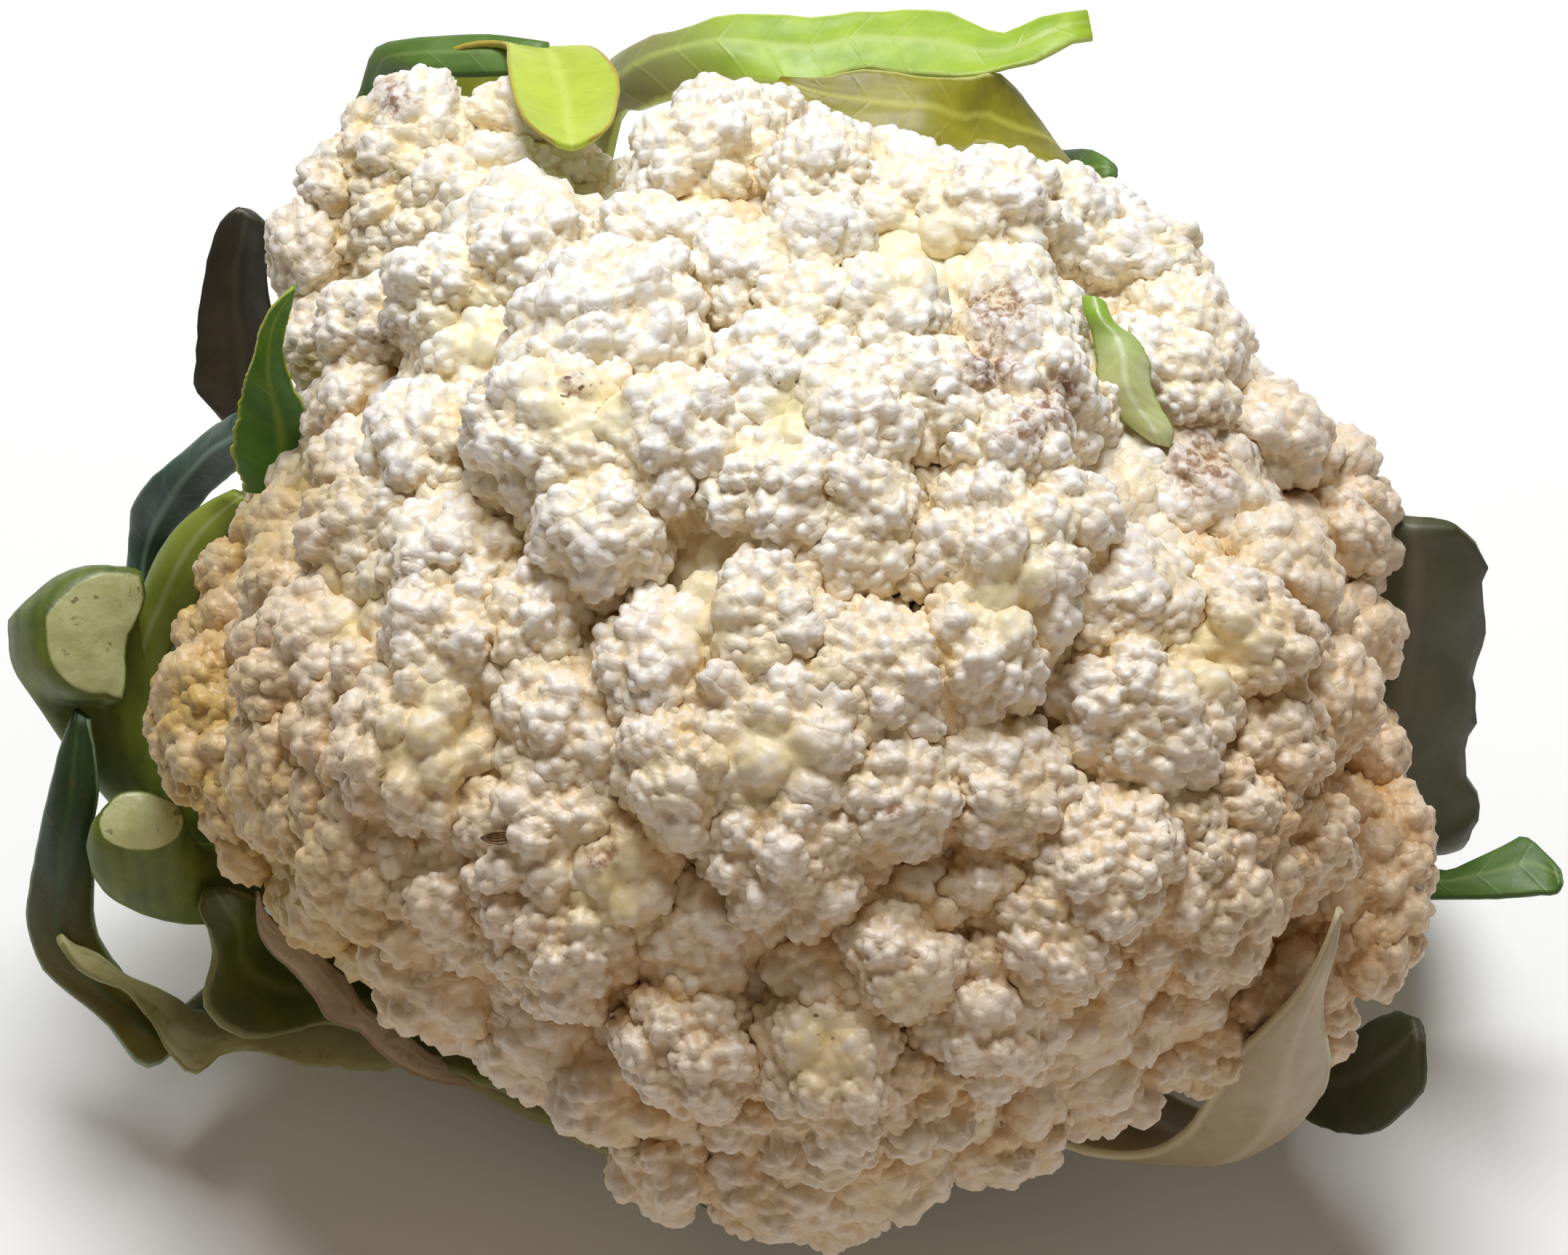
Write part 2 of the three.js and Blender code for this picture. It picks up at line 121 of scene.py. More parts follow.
def roomInside(across, up):  # how far points of the plane lie inside the outline, below zero outside it
    spots = np.stack([np.atleast_1d(across), np.atleast_1d(up)], 1)
    start = np.array(outline)
    run = np.roll(start, -1, 0) - start
    off = spots[:, None] - start
    share = np.clip((off * run).sum(2) / (run ** 2).sum(1), 0, 1)
    near = np.linalg.norm(off - share[..., None] * run, axis=2).min(1)
    crosses = (start[:, 1] > spots[:, None, 1]) != (np.roll(start, -1, 0)[:, 1] > spots[:, None, 1])
    level = (spots[:, None, 1] - start[:, 1]) / np.where(run[:, 1] == 0, 1e-9, run[:, 1])
    left = spots[:, None, 0] < start[:, 0] + level * run[:, 0]
    return np.where((crosses & left).sum(1) % 2 == 1, near, -near)


# florets: each group is [lift, doming, fineness, lobes]; a lobe is [across, up, radius] on the plane
tiers = {
    "curd_crown_left": [
        [-2, 2, 2, [[-53, 72, 12], [-67, 57, 11], [-38, 75, 10], [-62, 66, 10]]],
        [3, 3, 3, [[-50, 60, 13], [-33, 65, 10.5], [-36, 54, 9], [-47, 49, 10], [-58, 46, 8.5]]],
        [1, 3, 3, [[-44, 41, 10], [-60, 35, 9.5], [-50, 28, 10], [-64, 45, 7.5], [-60, 26, 8.5]]],
        [1, 3, 3, [[-12, 66, 12.5], [-9, 71.5, 9.5], [4, 66, 9], [-6, 52, 9.5], [-19, 57, 8], [11, 67, 8]]],
    ],
    "curd_crown_right": [
        [3, 3, 3, [[17, 60, 13.5], [4, 57, 8], [3, 48, 8], [13, 47, 9], [27, 61, 10.5], [36, 60, 9.5]]],
        [0, 3, 3, [[46, 52, 12.5], [51, 54, 9], [55, 43, 10], [41, 60, 9.5], [52, 38, 9]]],
        [-1, 3, 2, [[56, 22, 12], [67, 31, 12], [77, 17, 11.5], [66, 10, 10], [78, 3, 10], [47, 24, 9]]],
    ],
    "curd_overhang": [
        [6, 3, 3, [[-25, 42, 14], [-32, 28, 12], [-17, 28, 11], [-27, 17, 8.5], [-38, 33, 8.5]]],
        [5, 3, 3, [[-1, 35, 13], [-1, 22, 10.5], [10, 22, 8], [8, 31, 9]]],
        [4, 3, 3, [[18, 34, 11], [29, 45, 13], [40, 33, 12], [30, 27, 9]]],
        [3, 3, 3, [[27, 10, 14.5], [25, 0, 10], [8, 13, 8.5], [36, 18, 9]]],
    ],
    "curd_left": [
        [0, 2, 3, [[-57, 16, 10.5], [-45, 12, 11.5], [-35, 3, 9]]],
        [2, 4, 3, [[-62, -1, 13.5], [-45, 0, 11], [-50, -13, 14], [-30, -10, 11.5], [-67, -15, 12.5],
                   [-34, -24, 12], [-57, -26, 11]]],
        [-1, 2, 3, [[-22, -28, 10.5], [-44, -31, 13], [-29, -39, 11.5]]],
        [-9, 2, 2, [[-77, 6, 10], [-79, -7, 10], [-74, -20, 10], [-64, -32, 11], [-73, 15, 9],
                    [-68, 22, 8.5], [-76, -27, 8.5], [-66, -34, 8]]],
        [-15, 1, 2, [[-78, 12, 7], [-82, 3, 7], [-74, 20, 7]]],
        [-4, 1, 2, [[-66, 22, 9.5], [-69, 11, 9]]],
    ],
    "curd_heart": [
        [4, 4, 3, [[-3, 4, 10], [-17, -1, 9.5], [12, -4, 11.5], [-2, -12, 14], [0, -25, 13.5],
                   [-15, -17, 10.5], [14, -18, 10]]],
        [-5, 0, 2, [[-13, -38, 9], [13, -34, 11.5], [27, -30, 9], [5, -42, 9], [-9, 13, 8.5], [17, 8, 8]]],
    ],
    "curd_right": [
        [2, 4, 3, [[47, -9, 13.5], [62, -13, 13], [42, -28, 12], [56, -30, 14], [68, -25, 10],
                   [28, -17, 11], [34, -39, 10]]],
        [1, 2, 3, [[46, 8, 10], [60, 1, 12.5], [71, -6, 9.5]]],
        [-2, 1, 2, [[79, -13, 10], [80, -26, 10.5], [80, -39, 10.5], [72, -52, 10]]],
    ],
    "curd_chin": [
        [0, 2, 3, [[-13, -52, 12.5], [6, -55, 11], [25, -49, 12.5], [15, -42, 8.5]]],
        [-4, 2, 2, [[-34, -49, 12], [-48, -42, 11], [-26, -59, 10]]],
        [-5, 2, 2, [[42, -55, 11], [57, -49, 12], [70, -44, 10]]],
        [-3, 2, 2, [[-17, -68, 11], [-2, -69, 11], [13, -67, 10.5], [28, -65, 11], [-6, -76, 8],
                    [8, -76, 8]]],
    ],
}
# lobes placed by rule on a spiral round the whole head: the back ones, and small ones deep in the gaps
ruled = {
    "curd_back": {"places": 620, "lowest": -40, "radius": 13, "clear": 0.72, "inset": 0, "fine": 1},
    "curd_deep": {"places": 1400, "lowest": -42, "radius": 8.5, "clear": 0.5, "inset": 8, "fine": 1},
}
lobeShape = {
    "lump": (3.0, 4.7),  # radius of the swellings that make up a lobe, in mm
    "lumpCover": 2.0,  # how closely they are packed
    "waist": (0.86, 0.75),  # how far in the surface lies between them, on top and on the flank
    "edge": 2.65,  # length of the mesh's first edges, in mm
    "bead": (0.74, 1.28),  # radius of the beads, in a dip and on a top
    "beadVaries": (0.8, 1.22),
    "beadGap": 0.82,  # distance of two beads as a share of their radii
    "beadRelief": (0.62, 1.0),  # on a lobe's top and on its flank
    "uneven": 0.11,
    "blocks": 0.87,  # share of a neighbour's radius that hides what lies behind
    "grown": 1.08,  # how much wider the placed lobes are, their tops where they were
    "cushion": 2.8,  # how far below its lobes a group is filled out
}
# places on the plane, [across, up, reach]: smooth yellowish patches, amber painted shade on
# the curd under the leaves at the left side, spots with small dark specks, and brown stains
ripePatches = [
    [-29.7, 35.2, 8], [-2.2, -13.2, 7], [18.7, 57.2, 8], [-49.5, -12.1, 9], [-25.3, -30.8, 8],
    [4.4, -55, 6], [60.5, 1.1, 7], [-1, 34, 5], [-44, 45, 6], [30, 8, 6], [-12, 5, 5], [-62, 6, 6],
]
amberShadePatches = [
    [-84, -6, 9], [-82, -20, 10], [-74, -30, 10], [-64, -40, 9], [-86, 8, 7], [-76, 18, 8], [-68, 24, 6],
]
speckedSpots = [
    [-29.7, 37.2, 4.2], [-57.2, 45.1, 2.6], [-1.6, 38.8, 4], [-6.5, 13.6, 1.5], [21, 36, 3], [5.5, -51, 3],
]
brownStains = [
    [29.7, 49.5, 5.5], [27.5, 41.8, 4.5], [37.4, 36.3, 4.5], [33, 33, 3], [58.3, 28.6, 6],
    [-25.8, -25.9, 3.5], [15, -22, 1.6], [-29.7, 37.4, 2.2], [-57.2, 45.1, 2.4], [-57, 78, 3],
]


# directions spread evenly over a cap of that half angle about +Z, slightly shuffled
def spiralWays(count, cap, rng):
    k = np.arange(count)
    z = 1 - (k + 0.5) / count * (1 - math.cos(cap))
    turn = k * goldenAngle + rng.uniform(0, 6.28)
    flat = np.sqrt(np.maximum(0, 1 - z * z))
    ways = np.stack([flat * np.cos(turn), flat * np.sin(turn), z], 1)
    return unit(ways + rng.normal(0, 0.5 / math.sqrt(count), ways.shape))


def turnTo(outward):
    return np.array(Vector((0, 0, 1)).rotation_difference(Vector(outward)).to_matrix())


def leafSpots():  # points of the leaves that lie on top of the curd
    spots = []
    for name, leaf in leaves.items():
        for part in [leaf] + folds.get(name, []):
            for a1, u1, a2, u2, height, _ in part["seen"] if part.get("front") else []:
                for share in (0.1, 0.5, 0.9):
                    spots.append(seenAt(a1 + (a2 - a1) * share, u1 + (u2 - u1) * share, height))
    return np.array(spots)


# whether a lobe there stands between the eye and one of the points
def coversLeaf(centre, radius, spots):
    ways = unit(eyePoint - spots)
    along = ((centre - spots) * ways).sum(1)
    aside = np.linalg.norm(centre - spots - ways * along[:, None], axis=1)
    bulge = np.sqrt(np.maximum(0, radius ** 2 - aside ** 2))
    return bool(((aside < radius) & (along + bulge > -0.5)).any())


def placedLobes():
    lobes = []
    spots = leafSpots()
    for piece, groups in tiers.items():
        for lift, doming, fine, places in groups:
            middle = np.mean([s[:2] for s in places], axis=0)
            span = max(np.linalg.norm(np.array(s[:2]) - middle) for s in places)
            full = min(span + 4, 24)
            while full > 12 and (
                roomInside(*middle)[0] < full - 5 or coversLeaf(onHead(*middle, full + 4), full - 3, spots)
            ):
                full -= 1
            near = [[*middle, full, lobeShape["cushion"] - lift]]
            for across, up, radius in places:
                off = np.linalg.norm(np.array([across, up]) - middle) / span
                near.append([across, up, radius * lobeShape["grown"], doming * (off * off - 0.4) - lift])
            for across, up, radius, sunk in near:
                radius = min(radius, max(roomInside(across, up)[0] + 0.8, 4.5))
                centre = onHead(across, up, radius + sunk)
                for _ in range(12):
                    if coversLeaf(centre, radius - 1, spots):
                        centre = centre + unit(centre - eyePoint)
                        radius = max(radius - 0.1, 4.5)
                lobes.append({"piece": piece, "centre": centre, "radius": radius, "fine": fine})
    for piece, rule in ruled.items():
        bottom = math.sin(math.radians(rule["lowest"]))
        rng = np.random.default_rng(rule["places"])
        for k in range(rule["places"]):
            z = bottom + (1 - bottom) * (k + 0.5) / rule["places"]
            turn = k * goldenAngle + 0.5 * rng.uniform()
            flat = math.sqrt(1 - z * z)
            way = np.array([math.cos(turn) * flat, math.sin(turn) * flat, z])
            radius = rule["radius"] * rng.uniform(0.85, 1.15)
            centre = headCentre + way * (halfSizes - radius - rule["inset"])
            for step in range(14):
                across, up = acrossUp(centre[None])
                covers = step < 4 and coversLeaf(centre, radius - 1, spots)
                if covers or roomInside(across, up)[0] < radius - 0.5:
                    centre = centre - outwardAt(centre) * 2
            apart = [
                np.linalg.norm(o["centre"] - centre) / (o["radius"] + radius) for o in lobes
            ]
            if min(apart) > rule["clear"]:
                lobes.append({"piece": piece, "centre": centre, "radius": radius, "fine": rule["fine"]})
    for lobe in lobes:
        lobe["outward"] = outwardAt(lobe["centre"])
    return lobes


# the share of directions, outward ones and the eye's, in which nothing stands in a point's way
def openness(points, facing, outward, near, share):
    tilts = [(0, 1), (0.6, 6), (1.15, 7)]
    ways = [
        (math.sin(t) * math.cos(6.2832 * k / c + t), math.sin(t) * math.sin(6.2832 * k / c + t), math.cos(t))
        for t, c in tilts for k in range(c)
    ]
    ways = np.vstack([np.array(ways) @ turnTo(outward).T, toEye]).astype(np.float32)
    free = facing.astype(np.float32) @ ways.T > -0.15
    for other in near:
        to = (other["centre"] - points).astype(np.float32)
        far = (to ** 2).sum(1)[:, None]
        along = to @ ways.T
        limit = (other["radius"] * share) ** 2
        free &= ~((far < limit) | ((along > 0) & (far - along ** 2 < limit)))
    return free.mean(1)


def lumpsOn(lobe, rng):  # the swellings of a lobe: centres and radii, as shares of its radius
    low, high = [size / lobe["radius"] for size in lobeShape["lump"]]
    mean = 0.5 * (low + high)
    cap = math.radians(130)
    count = round(lobeShape["lumpCover"] * (1 - math.cos(cap)) / (mean * mean) * 0.9)
    ways = spiralWays(count, cap, rng) @ turnTo(lobe["outward"]).T
    sizes = rng.uniform(low, high, count)
    tops = 1 + rng.normal(0, 0.03, count)
    return ways * (tops - sizes)[:, None], sizes


# how far the lumps' surface lies along each direction, and the way it faces
def lumpySurface(ways, lobe, lumps, sizes):
    along = ways @ lumps.T
    rest = sizes ** 2 - (lumps ** 2).sum(1) + along ** 2
    reach = np.where((rest > 0) & (along > 0), along + np.sqrt(np.maximum(rest, 0)), 0)
    best = reach.argmax(1)
    top = reach[np.arange(len(ways)), best]
    high, low = lobeShape["waist"]
    waist = low + (high - low) * smoothStep(0.2, 0.95, ways @ lobe["outward"])
    soft = np.maximum(top, waist)
    facing = unit(ways * soft[:, None] - lumps[best])
    facing = np.where((top > waist)[:, None], facing, ways)
    return soft, facing


# beads thrown on the points so that no two are closer than their radii allow
def scatterBeads(points, radii, rng):
    order = rng.permutation(len(points))
    spots, sizes = points[order].astype(np.float32), radii[order].astype(np.float32)
    free = np.ones(len(order), bool)
    chosen = []
    while free.any():
        k = int(free.argmax())
        chosen.append(k)
        apart = ((spots - spots[k]) ** 2).sum(1)
        free &= apart > (lobeShape["beadGap"] * (sizes + sizes[k])) ** 2
        free[k] = False
    return order[chosen]


# how high the beads' domes stand over each point, with the matrix of squared distances
def beadRelief(points, beads, radii):
    points, beads, radii = [np.asarray(v, np.float32) for v in (points, beads, radii)]
    far = (points ** 2).sum(1)[:, None] + (beads ** 2).sum(1) - 2 * points @ beads.T
    return np.sqrt(np.maximum(0, radii ** 2 - far)).max(1), far


def shadeAndBuffAt(place):  # low colours: painted shade low down and lower left, sides buff and partly painted shade
    across, up = acrossUp(place)
    low = smoothStep(55, -60, up + 6 * wobble(place, 30, 1.3))
    shaded = smoothStep(30, 85, -across) * smoothStep(30, -50, up)
    return np.clip(0.75 * low + 0.6 * smoothStep(48, 88, np.abs(across)) + 0.5 * shaded, 0, 1)


# how far points lie in round places, 1 in the middle; a high sharpness makes the rims short
def nearness(across, up, places, sharpness=1.0):
    most = np.zeros(len(across))
    for a, u, size in places:
        far = ((across - a) ** 2 + (up - u) ** 2) / size ** 2
        most = np.maximum(most, np.exp(-far ** sharpness))
    return most


def marksAt(place, facing, outward):  # how ripe, stained and specked the curd is at each point, and its amber painted shade
    seenOn = acrossUp(place)
    fromEye = unit(place - headCentre) @ toEye > -0.1
    ripe = nearness(*seenOn, ripePatches, 1.5) * fromEye
    stain, amberShade, speck = [
        nearness(*seenOn, places) * fromEye for places in (brownStains, amberShadePatches, speckedSpots)
    ]
    patchy = smoothStep(0.35, 0.8, wobble(place, 15, 3.1)) * smoothStep(0.3, 0.9, (facing * outward).sum(-1))
    return np.maximum(ripe, 0.35 * patchy), stain, amberShade, speck


# one lobe's faces go into bm; its points and colour values come back
def growLobe(lobe, near, seed, bm, scrap):
    rng = np.random.default_rng(seed)
    shape = lobeShape
    centre, radius, outward = lobe["centre"], lobe["radius"], lobe["outward"]
    coarse = 1.45 if lobe["fine"] == 1 else 1
    steps = max(2, round(1.26 * radius / shape["edge"] / (1.15 if coarse > 1 else 1)))
    ball = bmesh.new()
    bmesh.ops.create_icosphere(ball, subdivisions=1, radius=1)
    bmesh.ops.subdivide_edges(ball, edges=ball.edges, cuts=steps - 1, use_grid_fill=True)
    roll = Matrix.Rotation(rng.uniform(0, 6.28), 3, Vector(rng.normal(size=3)).normalized())
    for vert in ball.verts:
        vert.co = (roll @ vert.co).normalized()

    # faces that nothing outside can see go, and what is left is closed again
    lumps, sizes = lumpsOn(lobe, rng)
    ball.verts.index_update()
    ways = np.array([v.co for v in ball.verts])
    links = np.array([[e.verts[0].index, e.verts[1].index] for e in ball.edges])
    reach, facing = lumpySurface(ways, lobe, lumps, sizes)
    seen = openness(centre + ways * reach[:, None] * radius, facing, outward, near, shape["blocks"]) > 0
    wide = seen.copy()
    np.logical_or.at(wide, links[:, 0], seen[links[:, 1]])
    np.logical_or.at(wide, links[:, 1], seen[links[:, 0]])
    gone = [f for f in ball.faces if not any(wide[v.index] for v in f.verts)]
    if len(gone) > len(ball.faces) * 0.95:
        ball.free()
        return None
    bmesh.ops.delete(ball, geom=gone, context="FACES")
    seeds = unit(np.array([v.co for v in ball.verts]))
    bmesh.ops.holes_fill(ball, edges=[e for e in ball.edges if e.is_boundary], sides=0)
    bmesh.ops.subdivide_edges(ball, edges=ball.edges, cuts=lobe["fine"], use_grid_fill=True)
    caps = [f for f in ball.faces if len(f.verts) > 4]
    inner = set(bmesh.ops.poke(ball, faces=caps)["verts"]) if caps else set()
    bmesh.ops.triangulate(ball, faces=ball.faces)
    ways = unit(np.array([v.co for v in ball.verts]))
    inside = np.array([v in inner for v in ball.verts])
    ball.to_mesh(scrap)
    ball.free()
    bm.from_mesh(scrap)

    reach, facing = lumpySurface(ways, lobe, lumps, sizes)
    reach[inside] = 0.5
    shell = ways * reach[:, None] * radius
    side = 1 - np.clip(facing @ outward, 0, 1)
    dip, top = shape["bead"]
    waist = shape["waist"][1]
    share = smoothStep(waist, 1, reach) * (0.45 + 0.55 * (1 - side))
    radii = (dip + (top - dip) * share) * rng.uniform(*shape["beadVaries"], len(shell)) * coarse
    chosen = scatterBeads(shell, radii, rng)
    relief, far = beadRelief(shell, shell[chosen], radii[chosen])
    seedReach, seedFacing = lumpySurface(seeds, lobe, lumps, sizes)
    seedSpots = seeds * seedReach[:, None] * radius
    # openness for colour, which the material turns into painted crevice shade
    free = openness(centre + seedSpots, seedFacing, outward, near, 0.97)
    nearby = np.exp(-beadRelief(shell, seedSpots, np.ones(len(seeds)))[1] / 3.0)
    opened = (nearby @ free) / np.maximum(nearby.sum(1), 1e-6)

    ripe, stain, amberShade, speck = marksAt(centre + shell, facing, outward)
    top, flank = shape["beadRelief"]
    strength = (top + (flank - top) * side) * (1 - 0.6 * ripe)
    lift = unit(0.65 * facing + 0.35 * ways)
    local = shell + lift * ((relief - 0.6) * strength)[:, None]
    stretch = np.eye(3) + shape["uneven"] * rng.uniform(-1, 1, (3, 3))
    place = centre + local @ stretch.T
    place += outward * 0.6 * wobble(place, 9, 1.7)[:, None]

    # how deep a point lies between beads and lumps and below the head's outline, for painted shade
    beadDip = 1 - np.clip(relief / (radii.mean() * 0.95), 0, 1)
    lumpDip = smoothStep(0.0, 0.14, 1 - reach)
    values = {"open": opened, "dip": np.clip(0.5 * beadDip + 0.5 * lumpDip, 0, 1)}
    values.update({"deep": smoothStep(2, 16, insetOf(place)), "ripe": ripe, "stain": stain})
    values.update({"shadeAndBuff": shadeAndBuffAt(place), "amberShade": amberShade, "speck": speck})
    return place, values


def addPiece(name, mesh, material, nodes):
    piece = bpy.data.objects.new(name, mesh)
    bpy.context.scene.collection.objects.link(piece)
    mesh.materials.append(material)
    for polygon in mesh.polygons:
        polygon.use_smooth = True
    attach(piece, "root")
    if nodes:
        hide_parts(*nodes)
    return piece


# a mesh from bm with those points in mm and one attribute for each list of values
def finishMesh(name, bm, points, values):
    mesh = bpy.data.meshes.new(name)
    bm.to_mesh(mesh)
    bm.free()
    mesh.vertices.foreach_set("co", (points * mm).astype(np.float32).ravel())
    for key, numbers in values.items():
        layer = mesh.attributes.new(key, "FLOAT", "POINT")
        layer.data.foreach_set("value", np.asarray(numbers, np.float32))
    mesh.update()
    return mesh


def growCurd(material):
    lobes = placedLobes()
    keys = ("open", "dip", "deep", "shadeAndBuff", "ripe", "stain", "amberShade", "speck")
    scrap = bpy.data.meshes.new("scrap")
    total = 0
    for piece in list(tiers) + list(ruled):
        bm = bmesh.new()
        points, values = [], {key: [] for key in keys}
        for number, lobe in enumerate(lobes):
            if lobe["piece"] != piece:
                continue
            near = [
                o for o in lobes
                if o is not lobe
                and np.linalg.norm(o["centre"] - lobe["centre"]) < o["radius"] + lobe["radius"] + 24
            ]
            grown = growLobe(lobe, near, number, bm, scrap)
            if grown is None:
                continue
            points.append(grown[0])
            for key in values:
                values[key].append(grown[1][key])
        full = {key: np.concatenate(parts) for key, parts in values.items()}
        mesh = finishMesh(piece, bm, np.concatenate(points), full)
        addPiece(piece, mesh, material, ["curd"])
        total += len(mesh.polygons)
        print(piece, len(points), "lobes", len(mesh.polygons), "triangles")
    bpy.data.meshes.remove(scrap)
    print("curd:", len(lobes), "lobes", total, "triangles")
    growCore(lobes, material)


# the middle of the head, with a finer mesh where a gap between the lobes shows it
core = {"inset": 13, "lump": 2.2, "floor": 26, "cuts": 26, "bead": 1.35}


def growCore(lobes, material):
    rng = np.random.default_rng(5)
    bm = bmesh.new()
    bmesh.ops.create_icosphere(bm, subdivisions=1, radius=1)
    bmesh.ops.subdivide_edges(bm, edges=bm.edges, cuts=core["cuts"], use_grid_fill=True)

    def surface():
        ways = unit(np.array([v.co for v in bm.verts]))
        points = headCentre + ways * (halfSizes - core["inset"])
        room = roomInside(*acrossUp(points))
        points -= outwardAt(points) * np.maximum(0, 6 - room)[:, None]
        points += ways * core["lump"] * wobble(points, 8, 2.6)[:, None]
        points[:, 2] = np.maximum(points[:, 2], core["floor"] + wobble(points, 12, 2) * 0.5)
        return points

    bm.verts.index_update()
    points = surface()
    out = outwardAt(points)
    seen = np.zeros(len(points), bool)
    centres = np.array([o["centre"] for o in lobes])
    reaches = np.array([o["radius"] * 0.95 for o in lobes])
    for k, point in enumerate(points):
        gaps = np.linalg.norm(centres - point, axis=1)
        near = [lobes[i] for i in np.nonzero(gaps < 36)[0]]
        if not any(gap < 0.9 * o["radius"] for o, gap in zip(lobes, gaps)):
            seen[k] = openness(point[None], out[k][None], out[k], near, 0.93)[0] > 0
            if not seen[k]:
                sight = unit(eyePoint - point)
                along = (centres - point) @ sight
                aside = np.linalg.norm(centres - point - along[:, None] * sight, axis=1)
                seen[k] = not ((along > 0) & (aside < reaches)).any()
    edges = [e for e in bm.edges if seen[e.verts[0].index] or seen[e.verts[1].index]]
    bmesh.ops.subdivide_edges(bm, edges=edges, cuts=2, use_grid_fill=True)
    bmesh.ops.triangulate(bm, faces=bm.faces)
    points = surface()
    out = outwardAt(points)
    radii = core["bead"] * rng.uniform(0.8, 1.25, len(points))
    tops = points[scatterBeads(points, radii, rng)]
    relief = np.zeros(len(points))
    for start in range(0, len(points), 3000):
        part = points[start:start + 3000]
        relief[start:start + 3000] = beadRelief(part, tops, np.full(len(tops), core["bead"]))[0]
    points = points + out * relief[:, None]
    full = np.ones(len(points))
    # the core takes half openness and deep dips, so the material paints it with crevice shade
    values = {"open": full * 0.5, "dip": 0.9 - relief * 0.5, "deep": full * 0.4, "shadeAndBuff": shadeAndBuffAt(points)}
    values.update({"ripe": full * 0, "stain": full * 0, "speck": full * 0})
    values["amberShade"] = marksAt(points, out, out)[2]
    mesh = finishMesh("curd_middle", bm, points, values)
    addPiece("curd_middle", mesh, material, ["curd"])
    print("curd_middle", int(seen.sum()), "open places", len(mesh.polygons), "triangles")


# a scrap of brown husk that lies on the curd where its line of sight meets it
husk = {"across": -40.7, "up": -24.8, "half": (2.7, 0.95, 0.4), "turn": 8, "ridges": 5, "lift": 0.8}


def growHusk():
    bpy.context.view_layer.update()
    sight = Vector(unit(onPlane(husk["across"], husk["up"]) - eyePoint))
    depsgraph = bpy.context.evaluated_depsgraph_get()
    hit, spot, facing = bpy.context.scene.ray_cast(depsgraph, Vector(eyePoint * mm), sight)[:3]
    if not hit:
        raise ValueError("the husk has nothing to lie on")
    bm = bmesh.new()
    bmesh.ops.create_icosphere(bm, subdivisions=4, radius=1)
    flat = np.array([v.co for v in bm.verts])
    long, wide, thick = husk["half"]
    taper = 1 - 0.45 * np.abs(flat[:, 0]) ** 1.5
    ridge = 0.12 * np.sin(husk["ridges"] * np.pi * flat[:, 1]) * (1 - flat[:, 0] ** 2)
    curl = 0.5 * flat[:, 1] ** 2 - 0.35 * flat[:, 0] ** 2
    local = np.stack([flat[:, 0] * long, flat[:, 1] * wide * taper, flat[:, 2] * thick + ridge + curl], 1)
    up = unit(0.5 * np.array(facing) + 0.5 * toEye)
    turn = math.radians(husk["turn"])
    across = np.array([math.cos(turn), 0, 0]) + planeUp * math.sin(turn)
    across = unit(across - up * (across @ up))
    points = np.array(spot) / mm + up * husk["lift"] + local @ np.stack([across, np.cross(up, across), up])
    mesh = finishMesh("husk", bm, points, {})
    n = Nodes("husk")
    skin = n.blend(n.between(n.speckle(0.8, 4), 0.35, 0.65), "a07e55", "694829")
    addPiece("husk", mesh, n.skin(skin, 0.6, n.bump(n.speckle(0.5, 3), 0.1, 0.5)), [])
    print("husk", len(mesh.polygons), "triangles")


